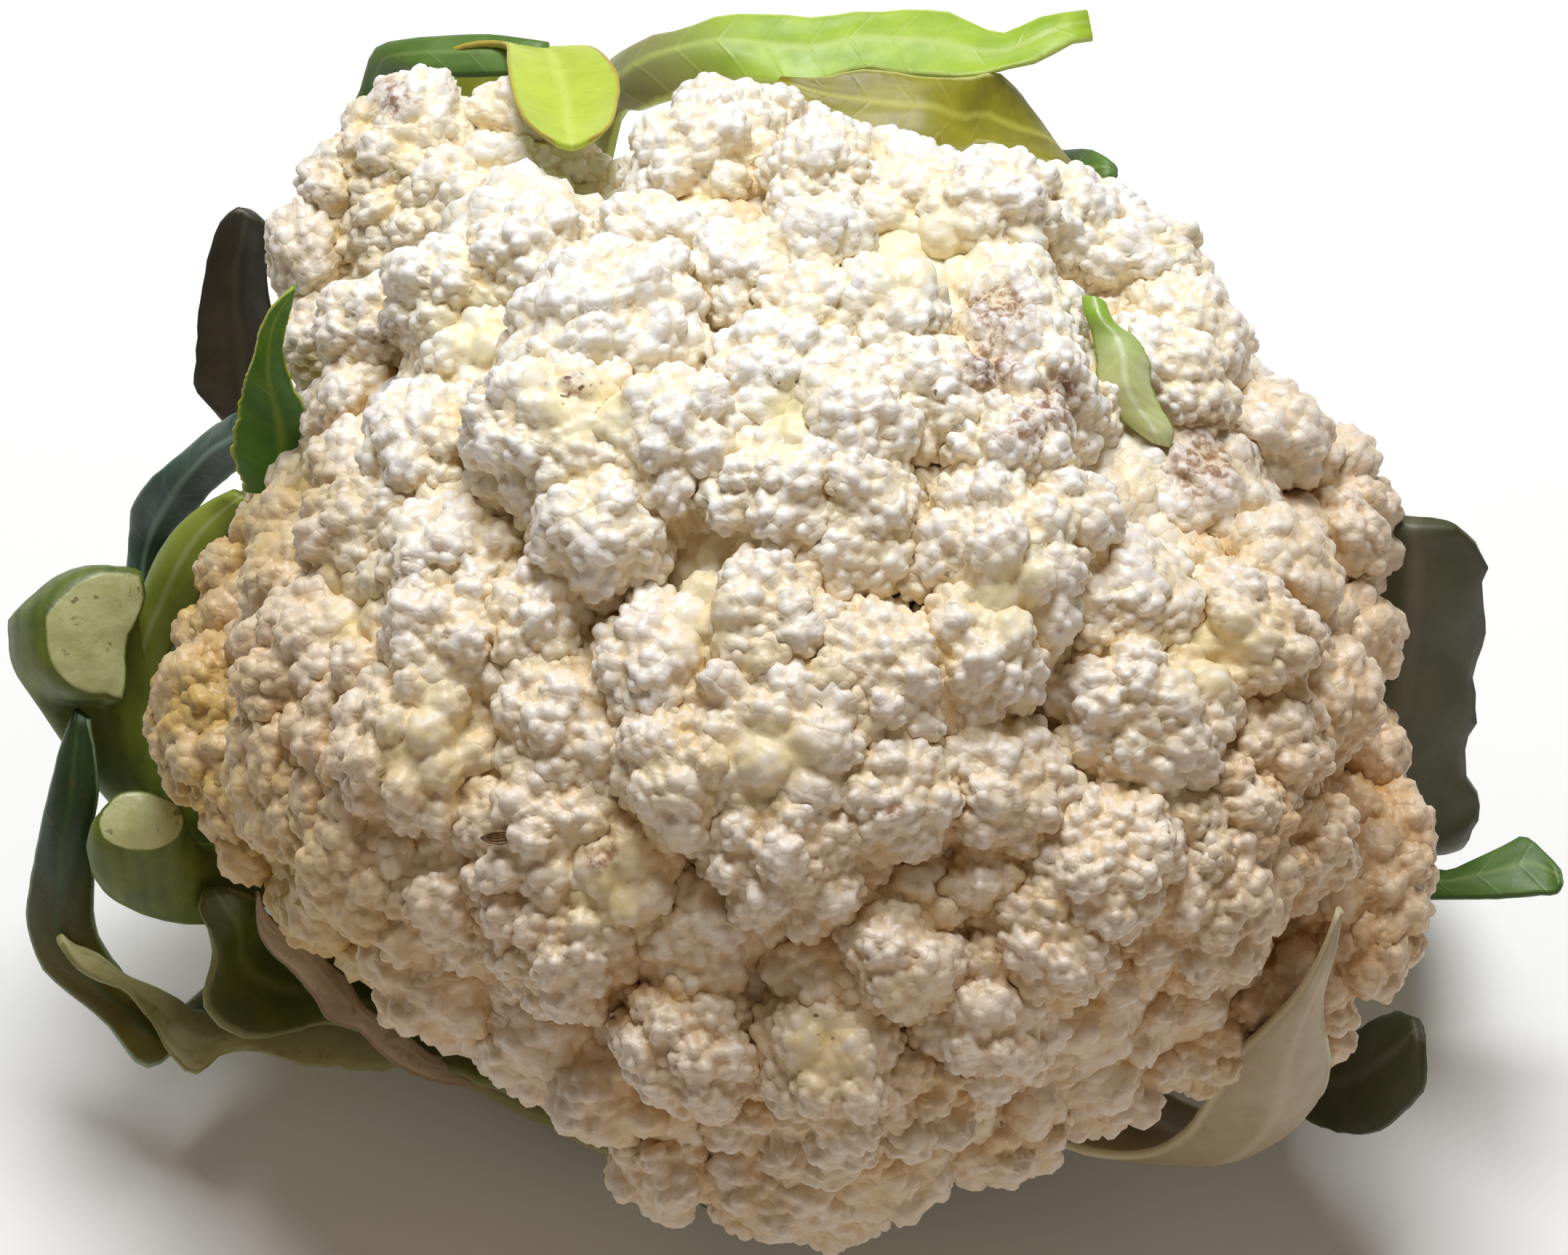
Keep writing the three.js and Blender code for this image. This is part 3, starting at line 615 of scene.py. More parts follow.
class Nodes:  # a material's node tree, built one named node at a time
    def __init__(self, name):
        self.material = bpy.data.materials.new(name)
        self.material.use_nodes = True
        self.tree = self.material.node_tree
        self.shader = self.tree.nodes["Principled BSDF"]

    def add(self, kind, inputs=None, **settings):
        node = self.tree.nodes.new("ShaderNode" + kind)
        for key, value in settings.items():
            setattr(node, key, value)
        for key, value in (inputs or {}).items():
            self.put(node.inputs[key], value)
        return node

    def put(self, socket, value):
        if isinstance(value, bpy.types.NodeSocket):
            self.tree.links.new(value, socket)
        else:
            socket.default_value = value

    def value(self, name):  # a number that each vertex carries
        return self.add("Attribute", attribute_name=name).outputs["Fac"]

    def place(self):
        return self.add("TexCoord").outputs["Object"]

    def speckle(self, size, detail=3.0, roughness=0.55):  # noise with swells of that size in mm
        node = self.add("TexNoise", {"Vector": self.place(), "Scale": 1 / (size * mm), "Detail": detail})
        node.inputs["Roughness"].default_value = roughness
        return node.outputs["Fac"]

    def cells(self, size, feature="F1"):
        node = self.add("TexVoronoi", {"Vector": self.place(), "Scale": 1 / (size * mm)}, feature=feature)
        return node.outputs["Distance"]

    def maths(self, operation, a, b=0.0):
        node = self.add("Math", operation=operation)
        self.put(node.inputs[0], a)
        self.put(node.inputs[1], b)
        return node.outputs[0]

    def between(self, value, low, high, start=0.0, end=1.0):  # value remapped and held
        node = self.add("MapRange", {"Value": value, "From Min": low, "From Max": high}, clamp=True)
        self.put(node.inputs["To Min"], start)
        self.put(node.inputs["To Max"], end)
        return node.outputs["Result"]

    def blend(self, share, first, second):
        node = self.add("Mix", data_type="RGBA", blend_type="MIX")
        self.put(node.inputs["Factor"], share)
        self.put(node.inputs["A"], colour(first))
        self.put(node.inputs["B"], colour(second))
        return node.outputs["Result"]

    def times(self, a, b):
        return self.maths("MULTIPLY", a, b)

    def bump(self, height, distance, strength=1.0, before=None):
        node = self.add("Bump", {"Height": height, "Distance": distance * mm, "Strength": strength})
        if before is not None:
            self.put(node.inputs["Normal"], before)
        return node.outputs["Normal"]

    # beneath holds the share of light that goes under the surface, how far red, green and blue of
    # it spread, and the depth in mm
    def skin(self, base, roughness, normal=None, beneath=None, shine=None):
        inputs = {"Base Color": colour(base), "Roughness": roughness, "Normal": normal}
        inputs["Specular IOR Level"] = shine
        if beneath:
            inputs["Subsurface Weight"], inputs["Subsurface Radius"], depth = beneath
            inputs["Subsurface Scale"] = depth * mm
        for key, value in inputs.items():
            if value is not None:
                self.put(self.shader.inputs[key], value)
        return self.material


def colour(value):  # a socket stays a socket, and a hex string becomes a linear colour
    if not isinstance(value, str):
        return value
    parts = [int(value[i:i + 2], 16) / 255 for i in (0, 2, 4)]
    return [p / 12.92 if p <= 0.04045 else ((p + 0.055) / 1.055) ** 2.4 for p in parts] + [1]


# each pair is the colour high on the head and low on it; the low one adds painted shade to buff
curdLook = {
    # gap and deep are painted shade and glow for crevices; side is painted shade where hidden, and also
    # random tone
    "top": ("f8f7f8", "dfccb4"), "side": ("f4ecdc", "d8bd9a"), "gap": ("f1d89a", "c89c62"),
    "deep": ("dcaa58", "a8763c"), "ripe": ("f0e2b0", "d8bc7c"), "brown": "8a5a30", "amberShade": "c8a860",
    "roughness": 0.42, "beneath": (0.12, (1.0, 0.78, 0.5), 2.2), "shine": 0.42,
    "bead": 1.75, "beadCrease": 0.3, "speck": "5d3c1a",
}


def curdMaterial():
    look = curdLook
    n = Nodes("curd")
    free, dip, deep = n.value("open"), n.value("dip"), n.value("deep")
    ripe, stain, shadeAndBuff = n.value("ripe"), n.value("stain"), n.value("shadeAndBuff")
    tone = {key: n.blend(shadeAndBuff, *look[key]) for key in ("top", "side", "gap", "deep", "ripe")}
    # painted shade: the side colour between beads and where a point is hidden from the open
    base = n.blend(n.between(dip, 0.15, 0.8), tone["top"], tone["side"])
    base = n.blend(n.between(free, 0.85, 0.4), base, tone["side"])
    beads = n.cells(look["bead"])
    smoothed = n.between(ripe, 0.2, 0.9, 1, 0.25)
    # painted shade in the creases between the Voronoi beads, weaker on ripe patches
    creaseShade = n.times(n.between(beads, 0.38, 0.75), smoothed)
    base = n.blend(n.times(creaseShade, look["beadCrease"]), base, tone["gap"])
    # painted shade and glow: the golden gap colour deep between beads and lumps, and in hidden crevices
    base = n.blend(n.between(dip, 0.55, 1.0, 0, 0.35), base, tone["gap"])
    creviceShade = n.times(n.between(dip, 0.35, 1.0, 0.25, 1.0), n.between(free, 0.7, 0.15))
    base = n.blend(creviceShade, base, tone["gap"])
    # painted shade: the dark deep colour in hidden hollows far below the head's outline
    hollowShade = n.times(n.between(deep, 0.35, 0.9), n.between(free, 0.4, 0.05))
    base = n.blend(n.times(hollowShade, 0.8), base, tone["deep"])
    base = n.blend(n.times(ripe, n.between(n.speckle(3), 0.3, 0.6)), base, tone["ripe"])
    mottle = n.between(n.speckle(6), 0.35, 0.7)
    base = n.blend(n.times(mottle, 0.25), base, tone["side"])
    # painted shade: amber on the curd under the leaves at the left, most in dips and hidden places
    yellow = n.times(n.value("amberShade"), n.between(n.maths("ADD", dip, free), 0.4, 1.7, 0.95, 0.5))
    base = n.blend(yellow, base, look["amberShade"])
    flecks = n.between(n.speckle(1.6, 4), 0.44, 0.6, 0.25, 1.0)
    brown = n.times(n.between(stain, 0.2, 0.7), flecks)
    base = n.blend(n.times(brown, 0.85), base, look["brown"])
    dots = n.times(n.between(n.speckle(1.1, 0), 0.7, 0.76), n.between(n.value("speck"), 0.3, 0.6))
    base = n.blend(n.times(dots, 0.85), base, look["speck"])
    dome = n.times(n.maths("SUBTRACT", 1.0, n.maths("POWER", beads, 2.0)), smoothed)
    return n.skin(base, look["roughness"], n.bump(dome, 0.5, 0.7), look["beneath"], look["shine"])


# leaves: bearing is the degrees round the stalk where the leaf grows, root its height there.
# hidden is the run under the curd, [across, up, height, half width].
# seen holds sections from base to tip, [across, up, across, up, height, bulge]: both edges on
# the plane, the height above the table, and how far the middle swells towards the eye.
# rib is the midrib's thickness at base and tip, ruffle how far the rims wave, and front marks a
# blade that lies over the curd, so that no lobe may hide it.
leaves = {
    "blade_top": {
        "bearing": 102, "root": 8, "look": "bright", "rib": (9, 1.4), "thick": 1.2, "ruffle": 0.8,
        "hidden": [[-30, 54, 44, 11], [-29, 70, 72, 9]],
        "seen": [
            [-26.5, 81, -24, 76, 84, 1], [-24.5, 84.5, -21.5, 77, 92, 1.5],
            [-19.7, 87, -18.2, 78.7, 98, 2], [-14, 88, -13, 80.8, 101, 2],
            [-9.9, 89.6, -8.8, 81.4, 103, 1.5], [-4.7, 89.9, -3.9, 81.1, 104, 0.5],
            [3.4, 89.3, 3.4, 80.7, 104, 0.5], [9.9, 90.3, 9, 82.5, 104.5, 0.5],
            [17, 90.6, 15.5, 81.8, 105, 0.5], [22, 90.6, 20.4, 81.1, 105.5, 0.3],
            [26.4, 88.6, 25.2, 81, 106, 0], [30, 87.9, 30.8, 82.6, 106, -0.5],
            [33, 89.3, 35.3, 83.7, 106.5, 0.5], [36.3, 90.4, 38, 85.6, 107, 0.5],
            [41.4, 91, 42.2, 86.6, 107, 0],
        ],
    },
    "blade_top_right": {
        "front": True,
        "bearing": 78, "root": 19, "look": "yellow", "rib": (8, 1.2), "thick": 1.1, "ruffle": 0.5,
        "hidden": [[30, 44, 44, 10], [37, 60, 72, 10]],
        "seen": [
            [33.5, 77.4, 38.5, 69, 98, 1], [30.8, 80.5, 32.4, 70.4, 103, 2],
            [28.4, 82, 27, 72.6, 106, 2.5], [24.5, 81, 23.5, 71.4, 107.5, 1],
            [20.4, 81, 19.8, 71.7, 108, -1], [15.4, 81.5, 15.4, 73, 109, 0],
            [9.9, 82, 9.3, 74.6, 109, 0.5], [4.4, 81.2, 3.9, 77, 108.5, 0.5],
            [-1.5, 81.4, -2.2, 80, 108, 0],
        ],
    },
    "blade_top_left": {
        "front": True,
        "bearing": 122, "root": 19, "look": "lime", "rib": (8, 1.1), "thick": 1.1, "ruffle": 0.3,
        "hidden": [[-44, 44, 44, 10], [-46, 68, 76, 9], [-42, 84, 100, 8]],
        "seen": [
            [-40.5, 86, -29, 86, 109, 1], [-40, 83.4, -25.6, 83.8, 115, 2],
            [-39.5, 80.3, -24.2, 80.3, 119, 2.5], [-38.6, 77.6, -24.3, 77.6, 121.5, 2.5],
            [-37.4, 75.6, -25, 75.6, 123.5, 2], [-35.6, 73.9, -26, 73.9, 125, 1.5],
            [-33.4, 72.6, -28.4, 72.6, 126, 1],
        ],
    },
    "blade_behind_left": {
        "bearing": 146, "root": 19, "look": "green", "rib": (8, 1.2), "thick": 1.1, "ruffle": 0.3,
        "hidden": [[-52, 36, 44, 10], [-60, 64, 76, 7]],
        "seen": [
            [-60.5, 80, -56, 78, 92, 0], [-58.2, 85.7, -55.2, 82.5, 99, 0.5],
            [-54, 86.8, -52, 82, 102, 0.5], [-48, 87.2, -47.5, 81.8, 104, 0.5],
            [-41.6, 87.2, -42.4, 82, 106, 0.3], [-36.9, 86.6, -38, 82.4, 107.5, 0],
            [-34, 86.2, -34.2, 84.4, 108, 0],
        ],
    },
    "blade_back": {
        "bearing": 58, "root": 8, "look": "green", "rib": (9, 2), "thick": 1.6, "ruffle": 0.4,
        "hidden": [[42, 42, 40, 12], [45, 56, 62, 9]],
        "seen": [
            [37.5, 71, 38.5, 62, 84, 1], [40, 71.2, 41, 63, 89, 1], [43, 71, 43.4, 65.4, 93, 0.5],
            [45, 69.6, 45, 67.6, 95, 0],
        ],
    },
    "blade_far_left": {
        "bearing": 130, "root": 8, "look": "brown", "rib": (9, 1.6), "thick": 1.3, "ruffle": 0.6,
        "hidden": [[-66, 20, 36, 12]],
        "seen": [
            [-80, 33.5, -72, 30, 54, -2], [-83.6, 38.3, -71, 38, 60, -3], [-83.7, 43.2, -71, 44, 66, -3],
            [-83.3, 48.4, -73, 49, 72, -3], [-82.5, 53.9, -73.5, 54.5, 78, -2.5],
            [-81.2, 58.5, -73.2, 58.5, 83, -2], [-79.8, 61.6, -73.6, 61, 87, -1],
            [-78.2, 62.8, -76.8, 62.5, 89, 0],
        ],
    },
    "blade_left_high": {
        "bearing": 157, "root": 8, "look": "blue", "rib": (9, 3), "thick": 1.3, "ruffle": 0.5,
        "hidden": [[-86, 2, 42, 9]],
        "seen": [
            [-93.3, 12, -88, 11.5, 52, 1], [-92.8, 17.7, -86.7, 16.9, 57, 1],
            [-92.4, 21.5, -84.4, 19.4, 62, 1], [-90, 25, -82.5, 22, 68, 1],
            [-85.4, 28.9, -80.2, 24.6, 74, 1], [-81.1, 32.5, -77.6, 26.6, 80, 1],
            [-78.1, 34.5, -75, 28.5, 86, 0],
        ],
    },
    "blade_left_low": {
        "bearing": 212, "root": 8, "look": "dark", "rib": (9, 1.6), "thick": 1.2, "ruffle": 0.5,
        "hidden": [[-60, -42, 19, 6], [-72, -45, 20, 5]],
        "seen": [
            [-84.5, -53.5, -84, -47.5, 19, 0], [-90.5, -57.4, -88, -50.8, 20, 1],
            [-96.5, -51, -90.2, -48, 22, 1], [-101.5, -46.8, -93.4, -44.6, 25, 1],
            [-105.3, -43, -95.5, -41.8, 28, 1.5], [-107, -38, -97.6, -38, 32, 2],
            [-106.8, -31, -97.8, -30.6, 40, 2], [-105.5, -24.3, -98.2, -25, 48, 2],
            [-104.3, -18.5, -97.1, -19, 54, 1.5], [-102.9, -13, -97.6, -13.5, 58, 1],
            [-100.5, -7, -98.6, -8.6, 62, 0],
        ],
    },
    "blade_left_torn": {
        "bearing": 238, "root": 8, "look": "torn", "rib": (9, 1.2), "thick": 1.1, "ruffle": 0.7,
        "hidden": [[-56, -50, 16, 9], [-70, -51, 19, 7]],
        "seen": [
            [-79.6, -51.5, -80, -55.6, 21, 1], [-82, -49.5, -84, -58.6, 22, 1],
            [-84.2, -49, -87.3, -55.8, 23, 0.5], [-86.6, -47.2, -89.4, -51.8, 24, 0],
            [-89.9, -45.8, -91.5, -49, 26, -0.5], [-93.2, -44.6, -93.2, -46.8, 28, 0],
            [-97.8, -41.2, -97.4, -45, 31, 0.5], [-101.4, -40, -100.4, -43, 33, 0.5],
            [-102.8, -38.8, -102.4, -40, 35, 0],
        ],
    },
    "blade_lower_left": {
        "bearing": 228, "root": 19, "look": "olive", "rib": (8, 1.8), "thick": 1.4, "ruffle": 0.6,
        "hidden": [[-46, -48, 22, 14]],
        "seen": [
            [-61, -52.4, -53, -47, 22, 1], [-66.5, -51.4, -62.5, -43.5, 25, 0.5],
            [-70.5, -52.6, -67.3, -41.5, 28, 0], [-75.5, -53, -69.5, -39.5, 31, 0],
            [-80, -51.4, -71.5, -37.5, 34, -0.5], [-82, -47.5, -72.8, -36.5, 37, -0.5],
            [-81.2, -43, -74, -35.5, 40, -0.5], [-81.6, -38.8, -74.6, -34.5, 43, 0],
            [-83.4, -35, -76, -33.5, 46, 0], [-82.4, -32, -79, -32.4, 48, 0],
        ],
    },
    "blade_pale": {
        "front": True,
        "bearing": 316, "root": 19, "look": "pale", "rib": (8, 1.4), "thick": 1.4, "ruffle": 0.3,
        "hidden": [[44, -64, 22, 12]],
        "seen": [
            [51, -68.6, 70, -66, 32, 2], [54.8, -66.6, 73.6, -61.6, 40, 2.5],
            [58.4, -62.4, 75.3, -57.2, 50, 2.5], [61.9, -56.4, 75, -52.9, 60, 2],
            [67.3, -50.9, 74.4, -49, 69, 1], [71.3, -46.2, 75, -45, 78, 0.5],
            [74.2, -41.3, 76.2, -41, 86, 0], [76.6, -35.4, 77.2, -35.2, 93, 0],
        ],
    },
    "blade_right": {
        "bearing": 18, "root": 8, "look": "grey", "rib": (9, 3), "thick": 1.5, "ruffle": 1.0,
        "hidden": [[80, -14, 28, 12]],
        "seen": [
            [76, -26, 94, -25.5, 34, 1], [75, -18, 96.5, -21.5, 42, 2], [74, -12, 94.6, -14, 50, 3],
            [74, -5, 96, -6.6, 58, 3], [75, 2, 96.6, 1.5, 65, 3], [76, 9, 97.6, 8.4, 73, 3],
            [78, 16, 96.5, 15.4, 80, 2], [81, 20, 93.6, 18.9, 85, 1],
        ],
    },
    "blade_far_right": {
        "bearing": 357, "root": 19, "look": "green", "rib": (8, 1.3), "thick": 1.2, "ruffle": 0.4,
        "hidden": [[76, -26, 28, 8]],
        "seen": [
            [86, -27.5, 85.5, -33.5, 32, 0.5], [92, -30, 92, -33.6, 34, 0.5],
            [96, -28.4, 96, -33.6, 35.5, 0.5], [100, -26.4, 100.7, -33.5, 37, 0.5],
            [102.8, -25, 104.5, -33.3, 38, 0.3], [105.4, -27, 107.3, -33, 39, 0],
            [107.6, -29.4, 108, -31.8, 40, 0],
        ],
    },
    "blade_right_low": {
        "bearing": 338, "root": 8, "look": "grey", "rib": (9, 1.8), "thick": 1.4, "ruffle": 0.6,
        "hidden": [[64, -48, 18, 12]],
        "seen": [
            [75, -66, 74, -54, 20, 1], [80, -67, 78, -53, 24, 1.5], [85, -64, 82, -51, 29, 1.5],
            [88, -60, 85.5, -49.6, 33, 1], [88.3, -54, 87.6, -50.4, 36, 0],
        ],
    },
    "sheath_left": {
        "front": True,
        "bearing": 168, "root": 19, "look": "sheath", "rib": (8, 1.6), "thick": 1.4, "ruffle": 0.2,
        "hidden": [[-80, -20, 36, 9]],
        "seen": [
            [-92.2, -14, -87, -14, 43, 0.5], [-92.9, -8, -90, -9, 48, 0.5],
            [-93.2, -1, -88.4, -2.6, 53, 1], [-92.8, 4, -86.8, 2, 57, 1.5], [-91, 9.6, -84, 6.4, 62, 1.5],
            [-89, 14.4, -81.8, 11, 67, 1.5], [-86.6, 18, -80, 15.2, 71, 1],
            [-82.6, 21.6, -77.4, 19, 75, 0.5], [-78.6, 23.6, -75.4, 22, 79, 0],
        ],
    },
    "leaf_scrap": {
        "front": True,
        "look": "scrap", "rib": (1.5, 1.2), "thick": 1.0, "ruffle": 0.4,
        "seen": [
            [40.7, 50.6, 44, 49.9, 128, 0.5], [41, 48.4, 45.3, 47.1, 127.5, 1],
            [42.2, 45.1, 48.4, 44.7, 126.5, 1], [42.6, 42.4, 50.1, 41.8, 125.5, 1.5],
            [43, 38.5, 50.6, 38, 124, 1.5], [44.8, 35.2, 51.7, 35.2, 122.5, 1],
            [47.8, 32.1, 53.6, 31.7, 121, 1], [50.4, 30.4, 53.1, 29.6, 120, 0.5],
        ],
    },
}
# further blades of a leaf that folds or splits, built the same way and joined to it
folds = {
    "blade_left_high": [
        {
            "front": True, "look": "tip", "rib": (1.4, 1.1), "thick": 1.0, "ruffle": 0.8,
            "seen": [
                [-76.7, 23.2, -65.9, 25, 88, 1], [-78.2, 27.5, -64.7, 27.4, 92, 0.5],
                [-78.3, 31.5, -64.9, 31, 96, -0.5], [-77.6, 35.2, -67.1, 33.9, 100, -1],
                [-76.8, 38.5, -69.9, 38.5, 104, -1], [-75.5, 42.4, -71.3, 42.9, 109, -1],
                [-74.6, 46.4, -70.8, 47.1, 114, -0.5], [-72.2, 50, -70, 50, 119, -0.3],
                [-70, 52, -69.6, 52, 122, 0],
            ],
        },
    ],
    "blade_lower_left": [
        {
            "front": True, "look": "rim", "rib": (1.4, 1.1), "thick": 1.0, "ruffle": 0.6,
            "seen": [
                [-42, -60.6, -43, -56, 19, 0], [-51.4, -58.8, -50.6, -55.6, 23, 0.5],
                [-57, -55.8, -55.6, -51.4, 27, 0.5], [-61.2, -52, -60, -48.6, 30, 0.8],
                [-64.8, -51, -62.4, -45.1, 33, 0.8], [-67.2, -47, -65.7, -42.4, 37, 0.8],
                [-70, -43.8, -67.6, -39.6, 41, 0.5], [-73, -41.2, -70.2, -37.4, 44, 0.5],
                [-74.8, -38.4, -72.4, -37, 46, 0.3], [-75.2, -35.4, -74, -35, 48, 0.2],
                [-75.1, -32.9, -74.8, -32.7, 50, 0],
            ],
        },
    ],
}
leafShape = {
    "across": 16, "along": 64, "rootReach": 22, "rootRise": 5, "rootHalf": 9, "stalkRadius": 26, "gap": 0.4,
}


# a smooth curve through the points, at shares of the way along their chords
def curveThrough(points, shares):
    points = np.asarray(points, float)
    chords = np.linalg.norm(np.diff(points.reshape(len(points), -1), axis=0), axis=1)
    knots = np.concatenate([[0], np.cumsum(np.maximum(chords, 1e-6))])
    knots /= knots[-1]
    slopes = np.gradient(points, knots, axis=0)
    at = np.clip(np.searchsorted(knots, shares) - 1, 0, len(knots) - 2)
    wide = (knots[at + 1] - knots[at])
    t = (shares - knots[at]) / wide
    shape = (-1,) + (1,) * (points.ndim - 1)
    t, wide = t.reshape(shape), wide.reshape(shape)
    return (
        (2 * t ** 3 - 3 * t ** 2 + 1) * points[at]
        + (t ** 3 - 2 * t ** 2 + t) * wide * slopes[at]
        + (3 * t ** 2 - 2 * t ** 3) * points[at + 1]
        + (t ** 3 - t ** 2) * wide * slopes[at + 1]
    )


def headingAt(points, t, step):  # the way the curve through the points runs at those shares
    following = curveThrough(points, np.minimum(t + step, 1))
    return unit(following - curveThrough(points, np.maximum(t - step, 0)))


def chordShares(points):
    knots = np.concatenate([[0], np.cumsum(np.linalg.norm(np.diff(points, axis=0), axis=1))])
    return knots / knots[-1]


def rootPlaces(grown):  # the first two places of a leaf or stump, at the stalk, and the way outward
    turn = math.radians(grown["bearing"])
    out = np.array([math.cos(turn), math.sin(turn), 0])
    shape = leafShape
    places = [
        out * (shape["stalkRadius"] + reach) + np.array([0, 0, grown["root"] + rise])
        for reach, rise in ((shape["gap"], 0), (shape["rootReach"], shape["rootRise"]))
    ]
    return places, out


# both edges of each section from the stalk to the tip, with the swelling of its middle
def leafSections(leaf):
    rows = []
    for a1, u1, a2, u2, height, bulge in leaf["seen"]:
        rows.append([seenAt(a1, u1, height), seenAt(a2, u2, height), bulge])
    for across, up, height, half in reversed(leaf.get("hidden", [])):
        middle = seenAt(across, up, height)
        following = 0.5 * (rows[0][0] + rows[0][1])
        ahead = unit(following - middle)
        sideways = rows[0][1] - rows[0][0]
        sideways = unit(sideways - ahead * (sideways @ ahead))
        rows.insert(0, [middle - sideways * half, middle + sideways * half, 0])
    if "bearing" in leaf:
        places, out = rootPlaces(leaf)
        sideways = np.array([-out[1], out[0], 0]) * leafShape["rootHalf"]
        if sideways @ (rows[0][1] - rows[0][0]) < 0:
            sideways = -sideways
        for middle in reversed(places):
            rows.insert(0, [middle - sideways, middle + sideways, 0])
    return rows


def growBlade(leaf, seed):  # one blade's mesh with its points and the values its material reads
    rows = leafSections(leaf)
    bm = bmesh.new()
    across, along = leafShape["across"], leafShape["along"]
    bmesh.ops.create_grid(bm, x_segments=across, y_segments=along, size=1)
    bmesh.ops.solidify(bm, geom=bm.faces, thickness=1)
    flat = np.array([v.co for v in bm.verts])
    heights = flat[:, 2]
    side = np.where(heights > heights.mean(), 1.0, -1.0)
    x, t = flat[:, 0], (flat[:, 1] + 1) / 2
    edges = curveThrough([[r[0], r[1]] for r in rows], t)
    middles = np.array([0.5 * (r[0] + r[1]) for r in rows])
    bulge = np.interp(t, chordShares(middles), [r[2] for r in rows])
    left, right = edges[:, 0], edges[:, 1]
    tear = 0.05 * wobble(np.stack([t * 90, x * 2, t * 31], 1), 3, seed) + 0.04 * wobble(
        np.stack([t * 240, x, t * 11], 1), 3, seed + 4)
    reach = x * (1 + tear * np.abs(x) ** 3 * leaf["ruffle"] * 1.5)
    middle = 0.5 * (left + right)
    sideways = 0.5 * (right - left)
    half = np.linalg.norm(sideways, axis=1)
    face = unit(np.cross(unit(sideways), headingAt(middles, t, 1e-3)))
    flip = np.where(face @ toEye < 0, -1.0, 1.0)
    face = face * (1.0 if flip.mean() > 0 else -1.0)
    rib = leaf["rib"][0] + (leaf["rib"][1] - leaf["rib"][0]) * np.minimum(1, t * 1.3)
    rib = np.maximum(rib, leaf["thick"])
    swell = np.maximum(0, rib - leaf["thick"]) * np.maximum(0, 1 - np.abs(x) ** 1.6)
    wave = leaf["ruffle"] * x ** 2 * np.sin(13 * t + 2 * x + seed) * np.minimum(1, half / 5)
    veins = np.abs(np.sin(9 * np.pi * (t - 0.16 * np.abs(x)))) ** 6
    groove = -0.12 * veins * (np.abs(x) > 0.08) * (1 - np.abs(x) ** 4) * min(1, leaf["ruffle"] * 2)
    taper = np.clip(1.15 - np.abs(x) ** 4 * 0.5, 0.4, 1)
    outer = leaf["thick"] / 2 * taper + 0.35 * swell
    inner = leaf["thick"] / 2 * taper + 0.65 * swell
    height = bulge * (1 - x * x) + wave + groove + np.where(side > 0, outer, -inner)
    points = middle + sideways * reach[:, None] + face * height[:, None]
    length = t * np.linalg.norm(np.diff(middles, axis=0), axis=1).sum()
    values = {"across": x, "along": t, "span": length}
    return bm, points, values


# the colour towards the stalk, and the shares of a leaf's length over which it fades out
leafFades = {
    "bright": ("8f9158", 0.69, 0.76), "dark": ("5a5210", 0.68, 0.86), "scrap": ("8fb03e", 0.15, 0.5),
    "grey": ("5d5a30", 0.3, 0.5), "tip": ("4d7f22", 0.1, 0.4), "yellow": ("8a8a1c", 0.4, 0.5),
    "pale": ("96845c", 0.35, 0.6), "blue": ("35543a", 0.4, 0.55),
}
leafLooks = {
    # blade colour, second colour, midrib, rim, share of blemishes, how strongly the side veins show
    "bright": ["8fb02a", "a8c43c", "b9c96a", "c8d67a", 0.08, 0.14],
    "yellow": ["968f22", "7a7414", "b9b44e", "cfcf86", 0.15, 0.1],
    "lime": ["c0d048", "b0c23a", "ced968", "b79a48", 0.1, 0.06],
    "green": ["4c6b2a", "5f7f36", "7f9650", "3f5826", 0.2, 0.1],
    "brown": ["4c473b", "5c5548", "6f6a50", "3c3c32", 0.3, 0.05],
    "blue": ["34523f", "284034", "8aa694", "587a62", 0.1, 0.08],
    "tip": ["5c9226", "42741f", "8fa836", "c3c64c", 0.12, 0.12],
    "dark": ["1d3213", "2b4016", "3a5626", "8b9f7c", 0.35, 0.05],
    "torn": ["a09a68", "aea878", "b8b288", "857f4c", 0.35, 0.0],
    # olive: a leaf green darkened with painted shade, for its inner face under the curd's lower left
    "olive": ["515813", "404a10", "6f7638", "878650", 0.25, 0.05],
    "rim": ["a8957c", "b7a68c", "bfb096", "80603c", 0.45, 0.0],
    "pale": ["b9a88c", "a8997a", "c4b59c", "d8cfae", 0.12, 0.0],
    "grey": ["57583f", "494c2e", "6d6856", "3a3e20", 0.25, 0.04],
    "sheath": ["94a040", "82902f", "b4b87c", "6f7e34", 0.15, 0.0],
    "scrap": ["cdd0a8", "b9c07c", "dcdec2", "8fa63e", 0.1, 0.05],
}


